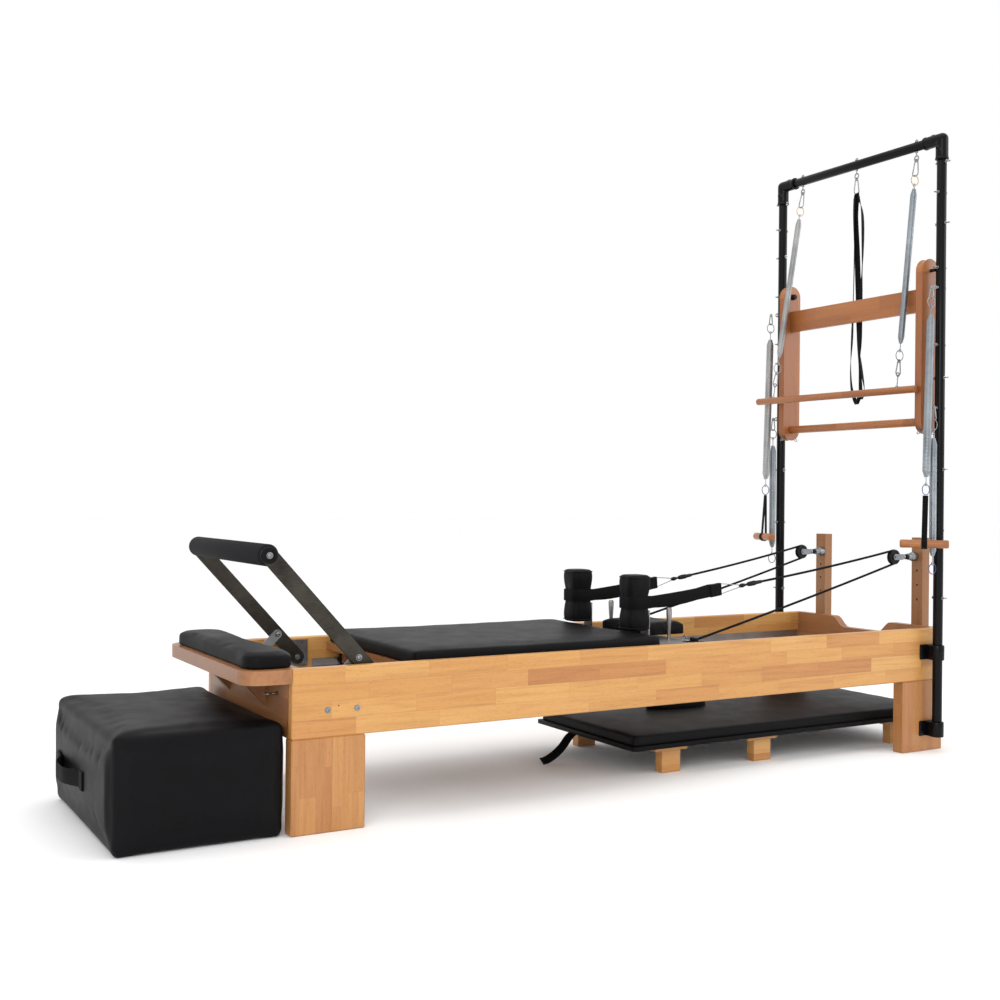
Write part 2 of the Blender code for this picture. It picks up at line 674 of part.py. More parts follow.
def head_plate():
    """Aluminium plate across the carriage with a post behind each rest and a peg for each strap."""
    plate = add("head_plate", box(PLATE_X, (-PLATE_HALF, PLATE_HALF), PLATE_Z), ALUMINIUM)
    extras = bmesh.new()
    post_x = REST_X[1] + POST_GAP
    peg_x = PLATE_X[1] - PEG_INSET
    foot = PLATE_Z[0] + SINK
    profile = ((0, 0.0045), (0.03, 0.005), (PEG_HEIGHT - 0.02, PEG_RADIUS),
               (PEG_HEIGHT - 0.005, PEG_RADIUS), (PEG_HEIGHT, PEG_RADIUS * 0.55))
    for _, side in SIDES:
        y = side * REST_Y
        box((post_x, post_x + POST_PLATE), centred(y, POST_WIDTH), (foot, foot + POST_HEIGHT), extras)
        turned((peg_x, y, foot), (0, 0, 1), profile, 12, extras)
    fuse(plate, extras)


def strap_outline(side, offset):
    """Plan of a strap round a rest's waist and on to its end, grown outwards by offset."""
    middle_x = sum(REST_X) / 2
    half_x = REST_DEPTH / 2 * WAIST + STRAP_GAP + offset
    half_y = REST_WIDTH / 2 * WAIST + STRAP_GAP + offset
    corner = REST_CORNER * WAIST + offset
    x = (middle_x - half_x, middle_x + half_x)
    y = (side * REST_Y - half_y, side * REST_Y + half_y)
    end_y = side * STRAP_END_Y
    end_x = STRAP_END_X + offset
    end_half = STRAP_END_HALF + offset
    tip = [(end_x, end_y - end_half), (end_x, end_y + end_half)]
    shoulders = arc((x[1] - corner, y[1] - corner), corner, 60, 90, 2)
    back = arc((x[0] + corner, y[1] - corner), corner, 90, 180, 3)
    front = arc((x[0] + corner, y[0] + corner), corner, 180, 270, 3)
    lower = arc((x[1] - corner, y[0] + corner), corner, 270, 300, 2)
    return tip + shoulders + back + front + lower


def straps():
    """Padded webbing loops, each lapped round a rest and ending at its rope's ring."""
    for name, side in SIDES:
        inner = strap_outline(side, 0.0)
        outer = strap_outline(side, STRAP_THICK)
        count = len(inner)
        bm = bmesh.new()
        rings = []
        for outline, level in ((inner, -0.5), (outer, -0.5), (outer, 0.5), (inner, 0.5)):
            ring = []
            for x, y in outline:
                share = max(0.0, (x - REST_X[1]) / STRAP_REACH)
                ring.append(bm.verts.new((x, y, STRAP_Z + STRAP_RISE * share + STRAP_HEIGHT * level)))
            rings.append(ring)
        for k in range(4):
            first, second = rings[k], rings[(k + 1) % 4]
            for i in range(count):
                j = (i + 1) % count
                bm.faces.new((first[i], first[j], second[j], second[i]))
        add(f"{name}_strap", bm, WEBBING)


def headrest():
    start = CUSHION_END + HEADREST_GAP
    hinge = (start, 0, PLATE_Z[1] + HEADREST_LIFT / 2)
    low = PLATE_Z[1] + HEADREST_LIFT
    bm = box((start, start + HEADREST_LENGTH), (-HEADREST_HALF, HEADREST_HALF),
             (low, low + HEADREST_THICK))
    soften(add("headrest", bm, LEATHER, hinge), 0.010, 2)


# ---- Footbar

def footbar():
    pivot = (FOOT_PIVOT[0], 0, FOOT_PIVOT[1])
    bolt, tip = strut_points()
    for name, side in SIDES:
        outline = stadium(FOOT_PIVOT, FOOT_GRIP, ARM_WIDTH)
        bm = prism(outline, "Y", between(side, ARM_INNER, ARM_OUTER))
        arm = add(f"{name}_footbar_arm", bm, DARK_STEEL, pivot)
        bore = PIVOT_PIN_RADIUS + RUNNING
        cut(arm, across(*FOOT_PIVOT, ARM_INNER - SINK, ARM_OUTER + SINK, bore, side))
        fuse(arm, across(*bolt, LINK_INNER, ARM_INNER + SINK, STRUT_PIN_RADIUS, side))
        bracket_x = centred(FOOT_PIVOT[0] + BRACKET_AHEAD, BRACKET_LENGTH)
        bm = box(bracket_x, between(side, ARM_OUTER + RUNNING, RAIL_INNER - GAP), BRACKET_Z)
        bracket = add(f"{name}_footbar_bracket", bm, STEEL)
        fuse(bracket, across(*FOOT_PIVOT, LINK_INNER, ARM_OUTER + SINK, PIVOT_PIN_RADIUS, side))
    reach = ARM_INNER - GAP
    grip = across(*FOOT_GRIP, -reach, reach, GRIP_RADIUS, segments=24)
    add("footbar_grip", grip, FOAM, pivot)
    links = bmesh.new()
    holes = bmesh.new()
    for _, side in SIDES:
        prism(stadium(bolt, tip, STRUT_WIDTH, 6), "Y", between(side, LINK_INNER, LINK_OUTER), links)
        across(*bolt, LINK_INNER - SINK, LINK_OUTER + SINK, STRUT_PIN_RADIUS + RUNNING, side,
               bm=holes)
    reach = LINK_INNER + SINK
    bm = across(*tip, -reach, reach, STRUT_ROD_RADIUS, segments=12)
    strut = add("footbar_strut", bm, STEEL, (bolt[0], 0, bolt[1]))
    cut(fuse(strut, links), holes)


# ---- Risers, pulleys and ropes

def risers():
    for name, side in SIDES:
        y = side * RISER_Y
        start = FRAME_LENGTH + GAP
        bm = box((start, start + RISER_THICK), centred(y, RISER_WIDTH), (RAIL_BOTTOM, RISER_TOP))
        riser = add(f"{name}_riser", bm, BEECH)
        holes = bmesh.new()
        for drop in RISER_HOLE_DROPS:
            z = RISER_TOP - drop
            rod((start - SINK, y, z), (start + RISER_HOLE_DEPTH, y, z), RISER_HOLE_RADIUS, 8, holes)
        cut(riser, holes)


def pulleys():
    """Sheave in a cheeked block that tilts on a ball at the mount fixed to the riser."""
    for name, side in SIDES:
        y = side * PULLEY_Y
        mount = ((0, 0.009), (0.008, 0.009), (0.008, 0.012), (0.030, 0.012), (0.032, 0.016),
                 (FRAME_LENGTH - SWIVEL_X - SWIVEL_BALL - GAP, 0.016))
        bm = turned((SWIVEL_X + SWIVEL_BALL + GAP, y, PULLEY_Z), (1, 0, 0), mount, 16)
        add(f"{name}_pulley_mount", bm, STEEL)

        pivot = (SWIVEL_X, y, PULLEY_Z)
        ball = [(-SWIVEL_BALL * math.cos(math.pi * i / 8), SWIVEL_BALL * math.sin(math.pi * i / 8))
                for i in range(2, 9)]
        ball[-1] = (SWIVEL_BALL, 0.002)
        stem = [(BRIDGE_X - SWIVEL_X, 0.006)]
        bm = turned(pivot, (1, 0, 0), stem + ball, 12)
        block = add(f"{name}_pulley_block", bm, STEEL, pivot)
        cheeks = bmesh.new()
        cheek = SHEAVE_HALF + CHEEK_GAP
        outline = stadium((PULLEY_X, PULLEY_Z), (BRIDGE_X, PULLEY_Z), CHEEK_HEIGHT, 6)
        for edge in (-1, 1):
            prism(outline, "Y", tuple(sorted((y + edge * cheek, y + edge * (cheek + CHEEK_THICK)))),
                  cheeks)
        fuse(block, cheeks)
        inside = cheek + CHEEK_THICK / 4
        joins = box((BRIDGE_X, BRIDGE_X + BRIDGE_THICK), (y - inside, y + inside),
                    centred(PULLEY_Z, CHEEK_HEIGHT * 0.75))
        rod((PULLEY_X, y - inside, PULLEY_Z), (PULLEY_X, y + inside, PULLEY_Z), SHEAVE_PIN_RADIUS,
            12, joins)
        fuse(block, joins)

        profile = ((-SHEAVE_HALF, SHEAVE_RADIUS), (-GROOVE_HALF, SHEAVE_RADIUS),
                   (-GROOVE_HALF, GROOVE_RADIUS), (GROOVE_HALF, GROOVE_RADIUS),
                   (GROOVE_HALF, SHEAVE_RADIUS), (SHEAVE_HALF, SHEAVE_RADIUS))
        centre = (PULLEY_X, y, PULLEY_Z)
        sheave = add(f"{name}_sheave", turned(centre, (0, 1, 0), profile, 24), NYLON, centre)
        reach = SHEAVE_HALF + SINK
        bore = SHEAVE_PIN_RADIUS + RUNNING
        cut(sheave, rod((PULLEY_X, y - reach, PULLEY_Z), (PULLEY_X, y + reach, PULLEY_Z), bore, 12))


def rope_route(side):
    """From the strap's ring over the sheave and back to the cleat, as a smooth list of points."""
    wrap = GROOVE_RADIUS + ROPE_RADIUS + RUNNING
    centre = Vector((PULLEY_X, PULLEY_Z))
    start = Vector((STRAP_END_X + STRAP_THICK + ROPE_START_GAP, STRAP_Z + STRAP_RISE * 1.02))
    end = Vector((TONGUE_END - CLEAT_BACK, PLATE_Z[1] + CLEAT_LIFT + ROPE_RADIUS))
    points = []

    def tangent_angle(point, sign):
        away = point - centre
        return math.atan2(away.y, away.x) + sign * math.acos(wrap / away.length)

    def run(first, last, steps):
        """Straight run with a slight sag, without its last point."""
        for i in range(steps):
            share = i / steps
            place = first.lerp(last, share)
            points.append((*place, share, -4 * ROPE_SAG * share * (1 - share)))

    top = tangent_angle(start, -1)
    bottom = tangent_angle(end, 1)
    leave = centre + wrap * Vector((math.cos(top), math.sin(top)))
    back = centre + wrap * Vector((math.cos(bottom), math.sin(bottom)))
    sheave_y = side * PULLEY_Y
    route = []
    run(start, leave, 14)
    for x, z, share, sag in points:
        route.append((x, side * STRAP_END_Y + (sheave_y - side * STRAP_END_Y) * share, z + sag))
    while bottom > top:
        bottom -= 2 * math.pi
    turns = 14
    for i in range(turns + 1):
        angle = top + (bottom - top) * i / turns
        place = centre + wrap * Vector((math.cos(angle), math.sin(angle)))
        route.append((place.x, sheave_y, place.y))
    points.clear()
    run(end, back, 17)
    for x, z, share, sag in reversed(points):
        route.append((x, side * CLEAT_Y + (sheave_y - side * CLEAT_Y) * share, z + sag))
    return route


def ropes():
    for name, side in SIDES:
        route = rope_route(side)
        curve = bpy.data.curves.new(f"{name}_rope", "CURVE")
        curve.dimensions = "3D"
        curve.bevel_depth = ROPE_RADIUS
        curve.bevel_resolution = 2
        curve.use_fill_caps = True
        curve.materials.append(CORD)
        spline = curve.splines.new("POLY")
        spline.points.add(len(route) - 1)
        for point, place in zip(spline.points, route):
            point.co = (*place, 1.0)
        obj = bpy.data.objects.new(f"{name}_rope", curve)
        bpy.context.collection.objects.link(obj)
        obj.parent = CENTRE


# ---- Tower

def tower():
    sleeve_bottom = TOWER_HEIGHT - ELBOW_SLEEVE
    stud_reach = POST_Y - PUSH_INNER + GAP
    for name, side in SIDES:
        y = side * POST_Y
        bm = rod((POST_X, y, POST_FOOT), (POST_X, y, sleeve_bottom - GAP), POST_RADIUS)
        post = add(f"{name}_tower_post", bm, BLACK_TUBE)
        clamps = bmesh.new()
        face = HALF_WIDTH + GAP
        block_y = between(side, face + CLAMP_THICK / 2, POST_Y + POST_RADIUS + CLAMP_WALL)
        for z in CLAMP_PLACES:
            box(centred(POST_X, CLAMP_BLOCK), block_y, (z, z + CLAMP_HEIGHT), clamps)
        fuse(post, clamps)
        flanges = bmesh.new()
        for z in CLAMP_PLACES:
            box(centred(POST_X, CLAMP_FLANGE), between(side, face, face + CLAMP_THICK),
                (z + SINK / 2, z - SINK / 2 + CLAMP_HEIGHT), flanges)
        stud = ((0, PIVOT_PIN_RADIUS), (stud_reach, PIVOT_PIN_RADIUS), (stud_reach, KNOB_RADIUS),
                (stud_reach + KNOB_LENGTH, KNOB_RADIUS))
        turned((PUSH_X, y, PUSH_PIVOT_Z), (0, -side, 0), stud, 16, flanges)
        fuse(post, flanges)


def tower_top():
    """Top bar with an elbow at each end that sleeves over a post."""
    bm = rod((POST_X, -POST_Y, TOWER_HEIGHT), (POST_X, POST_Y, TOWER_HEIGHT), POST_RADIUS)
    top = add("tower_top_bar", bm, BLACK_TUBE)
    fuse(top, level_sleeves())
    fuse(top, dropped_sleeves())


def level_sleeves():
    bm = bmesh.new()
    for _, side in SIDES:
        profile = ((0, ELBOW_RADIUS * 0.92), (0.002, ELBOW_RADIUS), (ELBOW_SLEEVE, ELBOW_RADIUS),
                   (ELBOW_SLEEVE + 0.012, ELBOW_RADIUS * 0.86),
                   (ELBOW_SLEEVE + 0.020, ELBOW_RADIUS * 0.50))
        turned((POST_X, side * (POST_Y - ELBOW_SLEEVE), TOWER_HEIGHT), (0, side, 0), profile, 16, bm)
    return bm


def dropped_sleeves():
    bm = bmesh.new()
    for _, side in SIDES:
        profile = ((0, ELBOW_RADIUS * 0.97), (ELBOW_SLEEVE - 0.001, ELBOW_RADIUS * 0.97),
                   (ELBOW_SLEEVE + 0.011, ELBOW_RADIUS * 0.84),
                   (ELBOW_SLEEVE + 0.019, ELBOW_RADIUS * 0.48))
        turned((POST_X, side * POST_Y, TOWER_HEIGHT - ELBOW_SLEEVE), (0, 0, 1), profile, 16, bm)
    return bm


def push_through_bar():
    pivot = (PUSH_X, 0, PUSH_PIVOT_Z)
    outline = stadium((PUSH_X, PUSH_PIVOT_Z), (PUSH_X, PUSH_FOOT_Z), PUSH_WIDTH, 10)
    for name, side in SIDES:
        arm = add(f"{name}_push_arm", prism(outline, "Y", between(side, PUSH_INNER, PUSH_OUTER)),
                  DARK_BEECH, pivot)
        cut(arm, across(PUSH_X, PUSH_PIVOT_Z, PUSH_INNER - SINK, PUSH_OUTER + SINK,
                        PIVOT_PIN_RADIUS + RUNNING, side))
    half = PUSH_INNER - GAP
    bm = box(centred(PUSH_X, PUSH_BOARD_THICK), (-half, half),
             (PUSH_BOARD_TOP - PUSH_BOARD_HEIGHT, PUSH_BOARD_TOP))
    soften(add("push_crossboard", bm, DARK_BEECH, pivot), 0.002)
    bm = across(PUSH_X, PUSH_FOOT_Z, -half, half, PUSH_DOWEL_RADIUS, segments=20)
    add("push_dowel", bm, DARK_BEECH, pivot)


def spring_profile(coil, radius, length):
    """Hooked rod, coned coil and hooked rod, as distances below the eye."""
    start, end = coil
    return ((EYE_THICK, HOOK_RADIUS), (start, HOOK_RADIUS), (start + 0.002, radius * 0.6),
            (start + 0.022, radius), (end - 0.022, radius), (end - 0.002, radius * 0.6),
            (end, HOOK_RADIUS), (length, HOOK_RADIUS))


def roll_down_bar():
    pivot = (POST_X, 0, EYE_Z)
    hooks = {
        "near": Vector((ROLL_BAR_X, ROLL_BAR_SHIFT - ROLL_HOOK_Y, ROLL_BAR_Z)),
        "far": Vector((ROLL_BAR_X - ROLL_FAR_AHEAD, ROLL_BAR_SHIFT + ROLL_HOOK_Y, ROLL_BAR_Z)),
    }
    middle = (hooks["near"] + hooks["far"]) / 2
    half = (hooks["far"] - hooks["near"]).normalized() * ROLL_BAR_LENGTH / 2
    add("roll_down_bar", rod(middle - half, middle + half, ROLL_BAR_RADIUS, 20), DARK_BEECH, pivot)
    for name, side in SIDES:
        eye = Vector((POST_X, side * ROLL_EYE_Y, EYE_Z))
        hook = hooks[name] + Vector((0, 0, ROLL_BAR_RADIUS))
        reach = (hook - eye).length - SINK
        profile = spring_profile(ROLL_COIL, ROLL_SPRING_RADIUS, reach)
        add(f"{name}_roll_spring", turned(eye, hook - eye, profile, 12), ZINC, pivot)


def hanging_loops():
    """Cotton strap that hangs from the middle eye and lies behind the push-through crossboard."""
    back = PUSH_X + PUSH_BOARD_THICK / 2 + LOOP_GAP + LOOP_THICK / 2
    rings = []
    for i in range(9):
        share = i / 8
        x = POST_X + (back - POST_X) * share ** LOOP_BULGE
        z = EYE_Z - LOOP_START - (LOOP_HANG - LOOP_START) * share
        width = LOOP_WIDTH * (0.35 + 0.65 * min(1.0, share * 3))
        corners = ((-1, -1), (1, -1), (1, 1), (-1, 1))
        rings.append([(x + a * LOOP_THICK / 2, b * width / 2, z) for a, b in corners])
    add("hanging_loops", loft(rings), WEBBING, (POST_X, 0, EYE_Z), smooth=False)


def side_springs():
    """On each post, a sprung handle in front and a lower spring for a leg strap behind it."""
    lean = Vector((-math.sin(HAND_LEAN), 0, -math.cos(HAND_LEAN)))
    for name, side in SIDES:
        y = side * SIDE_EYE_Y
        eye = Vector((HAND_EYE_X, y, HAND_EYE_Z))
        handle = eye + lean * HAND_DROP
        reach = HAND_DROP - HANDLE_RADIUS - SINK / 2
        profile = spring_profile(HAND_COIL, HAND_SPRING_RADIUS, reach)
        add(f"{name}_hand_spring", turned(eye, lean, profile, 12), ZINC, tuple(eye))
        yaw = HANDLE_YAW[name]
        half = Vector((math.cos(yaw), math.sin(yaw), 0)) * HANDLE_LENGTH / 2
        bm = rod(handle - half, handle + half, HANDLE_RADIUS, 16)
        add(f"{name}_spring_handle", bm, DARK_BEECH, tuple(eye))
        eye = Vector((LEG_EYE_X, y, LEG_EYE_Z))
        profile = spring_profile(LEG_COIL, LEG_SPRING_RADIUS, LEG_DROP)
        add(f"{name}_leg_spring", turned(eye, (0, 0, -1), profile, 12), ZINC, tuple(eye))


# ---- Loose accessories

def sitting_box():
    x = (-BOX_GAP - BOX_LENGTH, -BOX_GAP)
    body = add("sitting_box", box(x, (-BOX_HALF, BOX_HALF), (0, BOX_HEIGHT)), LEATHER)
    soften(body, BOX_ROUND, 2)
    steps = 10
    outer, inner = [], []
    for i in range(steps + 1):
        share = -1 + 2 * i / steps
        y = BOX_HANDLE_Y + BOX_HANDLE_HALF * share
        lift = BOX_HANDLE_BULGE * math.sqrt(max(0.0, 1 - abs(share) ** 3))
        outer.append((x[0] - GAP - lift - BOX_HANDLE_THICK * 0.9, y))
        inner.append((x[0] - GAP - lift, y))
    bm = prism(outer + inner[::-1], "Z", centred(BOX_HANDLE_Z, BOX_HANDLE_HEIGHT))
    add("box_handle", bm, WEBBING, smooth=False)


def floor_mat():
    plate = (MAT_BOTTOM, MAT_BOTTOM + MAT_PLATE_THICK)
    inset = MAT_PLATE_INSET
    bm = box((MAT_X[0] + inset, MAT_X[1] - inset), (MAT_Y[0] + inset, MAT_Y[1] - inset), plate)
    board = add("mat_board", bm, BEECH)
    battens = bmesh.new()
    feet = bmesh.new()
    for offset in MAT_FOOT_X:
        x = MAT_X[0] + offset
        for y in MAT_FOOT_Y:
            depth = centred(y, MAT_FOOT_DEPTH)
            batten = (MAT_BOTTOM - MAT_BATTEN_THICK, MAT_BOTTOM + SINK)
            box(centred(x, MAT_BATTEN_WIDTH), depth, batten, battens)
            box(centred(x, MAT_FOOT_WIDTH), (depth[0] + SINK / 2, depth[1] - SINK / 2),
                (0, batten[0] + SINK), feet)
    fuse(board, battens)
    fuse(board, feet)
    bm = box(MAT_X, MAT_Y, (plate[1] + GAP, MAT_BOTTOM + MAT_THICK))
    soften(add("mat_cushion", bm, LEATHER), 0.006)


clear_scene()
CENTRE = bpy.data.objects.new("reformer_centre", None)
bpy.context.collection.objects.link(CENTRE)
CENTRE.location = (-CENTRE_X, -CENTRE_Y, 0)

BEECH = material("beech", (0.80, 0.43, 0.15), 0.42)
DARK_BEECH = material("dark_beech", (0.55, 0.22, 0.07), 0.42)
LEATHER = material("leatherette", (0.012, 0.012, 0.013), 0.45)
WEBBING = material("webbing", (0.008, 0.008, 0.008), 0.85)
CORD = material("cord", (0.01, 0.01, 0.011), 0.7)
FOAM = material("foam", (0.02, 0.02, 0.022), 0.75)
NYLON = material("nylon", (0.015, 0.015, 0.017), 0.4)
BLACK_TUBE = material("black_tube", (0.006, 0.006, 0.007), 0.3)
ALUMINIUM = material("aluminium", (0.40, 0.40, 0.41), 0.35, 1.0)
STEEL = material("steel", (0.55, 0.55, 0.56), 0.25, 1.0)
DARK_STEEL = material("dark_steel", (0.09, 0.085, 0.075), 0.35, 1.0)
ZINC = material("zinc", (0.42, 0.46, 0.50), 0.3, 1.0)

side_rails()
legs()
foot_crossboard()
head_endboard()
standing_platform()
tracks()
spring_bar()
carriage_base()
carriage_cushion()
wheelsets()
shoulder_rests()
head_plate()
straps()
headrest()
footbar()
risers()
pulleys()
ropes()
tower()
tower_top()
push_through_bar()
roll_down_bar()
hanging_loops()
side_springs()
sitting_box()
floor_mat()
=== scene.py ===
# %% [markdown]
# # Studio pilates reformer with a half tower
# A reformer is a long wooden bed with a sprung carriage. This one carries a steel tube tower at its head
# end, with sprung bars and handles, and it comes with a sitting box and a floor mat. The frame, the
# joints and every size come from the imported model. This file gives each piece its final shape and finish.

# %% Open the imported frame
import math

import bmesh
import bpy
from mathutils import Matrix, Vector, noise


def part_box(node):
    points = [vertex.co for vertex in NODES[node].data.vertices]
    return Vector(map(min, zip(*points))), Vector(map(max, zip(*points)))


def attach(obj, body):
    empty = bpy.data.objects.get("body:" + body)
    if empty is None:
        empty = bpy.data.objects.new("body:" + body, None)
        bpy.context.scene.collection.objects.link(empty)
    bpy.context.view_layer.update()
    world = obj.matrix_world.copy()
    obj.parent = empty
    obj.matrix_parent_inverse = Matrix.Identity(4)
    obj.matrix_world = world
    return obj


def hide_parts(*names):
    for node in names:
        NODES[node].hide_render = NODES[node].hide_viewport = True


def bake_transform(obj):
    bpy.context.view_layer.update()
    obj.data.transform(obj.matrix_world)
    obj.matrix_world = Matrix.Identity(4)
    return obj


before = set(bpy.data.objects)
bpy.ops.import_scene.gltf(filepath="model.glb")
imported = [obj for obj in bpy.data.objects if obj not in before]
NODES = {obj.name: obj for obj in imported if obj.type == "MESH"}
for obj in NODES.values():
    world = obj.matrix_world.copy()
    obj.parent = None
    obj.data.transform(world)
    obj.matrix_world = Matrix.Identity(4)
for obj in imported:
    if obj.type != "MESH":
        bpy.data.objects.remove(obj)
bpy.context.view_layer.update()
SIDES = (("near", -1), ("far", 1))

# %% [markdown]
# The bed's own frame is the handy one to think in: X from the foot end, Y from the centre line and Z
# from the floor. The rails give where that frame lies, so nothing is typed in twice.

# %% The bed's own frame
RAIL_LOW, RAIL_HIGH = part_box("near_side_rail")[0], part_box("far_side_rail")[1]
ORIGIN = Vector((RAIL_LOW.x, (RAIL_LOW.y + RAIL_HIGH.y) / 2, 0.0))
LENGTH = RAIL_HIGH.x - RAIL_LOW.x
HALF_WIDTH = RAIL_HIGH.y - ORIGIN.y
RAIL_TOP = RAIL_HIGH.z


def at(x, y, z):
    """A point of the bed's own frame, in the row frame."""
    return ORIGIN + Vector((x, y, z))


def span(node):
    """A CAD node's lowest and highest corner, in the bed's own frame."""
    low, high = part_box(node)
    return low - ORIGIN, high - ORIGIN


def middle(node):
    low, high = span(node)
    return (low + high) / 2


print("bed", round(LENGTH, 3), "x", round(2 * HALF_WIDTH, 3), "rail top", round(RAIL_TOP, 3))

# %% [markdown]
# ## Finishes
# Every finish is a small tree of nodes on a Principled BSDF. One function adds a node and fills its
# inputs, so a tree reads from top to bottom like a recipe.

# %% Node and colour helpers
def srgb(code):
    """A hex colour as linear red, green, blue and alpha."""
    parts = [int(code[i:i + 2], 16) / 255 for i in (1, 3, 5)]
    linear = [c / 12.92 if c <= 0.04045 else ((c + 0.055) / 1.055) ** 2.4 for c in parts]
    return (*linear, 1.0)


def add_node(tree, kind, settings=None, inputs=None):
    """Add a node, set its properties, and fill or link its inputs by name or number."""
    node = tree.nodes.new(kind)
    for name, value in (settings or {}).items():
        setattr(node, name, value)
    for key, value in (inputs or {}).items():
        socket = node.inputs[key]
        if isinstance(value, bpy.types.NodeSocket):
            tree.links.new(value, socket)
        else:
            socket.default_value = value
    return node


def sums(tree, operation, first, second=0.0, third=0.0):
    """One Math node, by its operation."""
    inputs = {0: first, 1: second, 2: third}
    return add_node(tree, "ShaderNodeMath", {"operation": operation}, inputs).outputs[0]


def blend_colours(tree, mode, factor, first, second):
    settings = {"data_type": "RGBA", "blend_type": mode}
    inputs = {0: factor, 6: first, 7: second}
    return add_node(tree, "ShaderNodeMix", settings, inputs).outputs[2]


def ramp(tree, factor, stops):
    """A colour ramp from (position, hex colour) pairs."""
    made = add_node(tree, "ShaderNodeValToRGB", None, {0: factor})
    elements = made.color_ramp.elements
    while len(elements) < len(stops):
        elements.new(0.5)
    for element, (place, code) in zip(elements, stops):
        element.position = place
        element.color = srgb(code)
    return made.outputs[0]


def new_finish(name, roughness, metallic=0.0, **plain):
    """A material with a Principled BSDF whose plain numbers sit on the shader's own sockets."""
    made = bpy.data.materials.new(name)
    made.use_nodes = True
    shader = made.node_tree.nodes["Principled BSDF"]
    shader.inputs["Roughness"].default_value = roughness
    shader.inputs["Metallic"].default_value = metallic
    for key, value in plain.items():
        shader.inputs[key.replace("_", " ")].default_value = value
    return made, made.node_tree, shader


def grain_bump(tree, shader, height, depth):
    """Raise the surface by a height pattern, with its depth in metres."""
    made = add_node(tree, "ShaderNodeBump", None, {"Strength": 1.0, "Distance": depth, "Height": height})
    tree.links.new(made.outputs[0], shader.inputs["Normal"])


def object_point(tree):
    return add_node(tree, "ShaderNodeTexCoord").outputs["Object"]


# %% [markdown]
# The wood is beech in finger-jointed staves, sanded and sealed with a clear satin varnish. Staves are
# about 45 mm wide and a hand or two long, and each has its own tone. A brick pattern would repeat, so
# each row of staves is shifted by a random amount, and each stave picks its tone by its own number.
# Beech shows as fine straight grain with short brown flecks.

# %% Beech in staves
STAVE_WIDTH = 0.0432
STAVE_LENGTH = 0.235
JOINT_LINE = 0.0009
GRAIN_WIDTH = 0.0045
FLECK_LENGTH = 0.011
FLECK_WIDTH = 0.0016
WARM_TONES = ((0.0, "#B57A42"), (0.2, "#C48D4C"), (0.48, "#CB9652"), (0.76, "#D09E5B"), (1.0, "#C38A4B"))
# The upright tones are a darker copy of the beech: painted shade on the legs.
SHADED_UPRIGHT_TONES = ((0.0, "#A8703F"), (0.4, "#B8814A"), (0.7, "#C08B50"), (1.0, "#B17A45"))
# The cross tones are darker still: painted shade on the end boards, the standing platform and the carriage
# plate.
SHADED_CROSS_TONES = ((0.0, "#8F5D36"), (0.4, "#9C683E"), (0.7, "#A37044"), (1.0, "#96633A"))
DEEP_TONES = ((0.0, "#94582A"), (0.4, "#A0622F"), (0.7, "#A66834"), (1.0, "#985C2C"))
# The riser tones are the darkest copy of the beech: painted shade on the risers.
SHADED_RISER_TONES = ((0.0, "#8C5E34"), (0.5, "#96683A"), (1.0, "#905F36"))


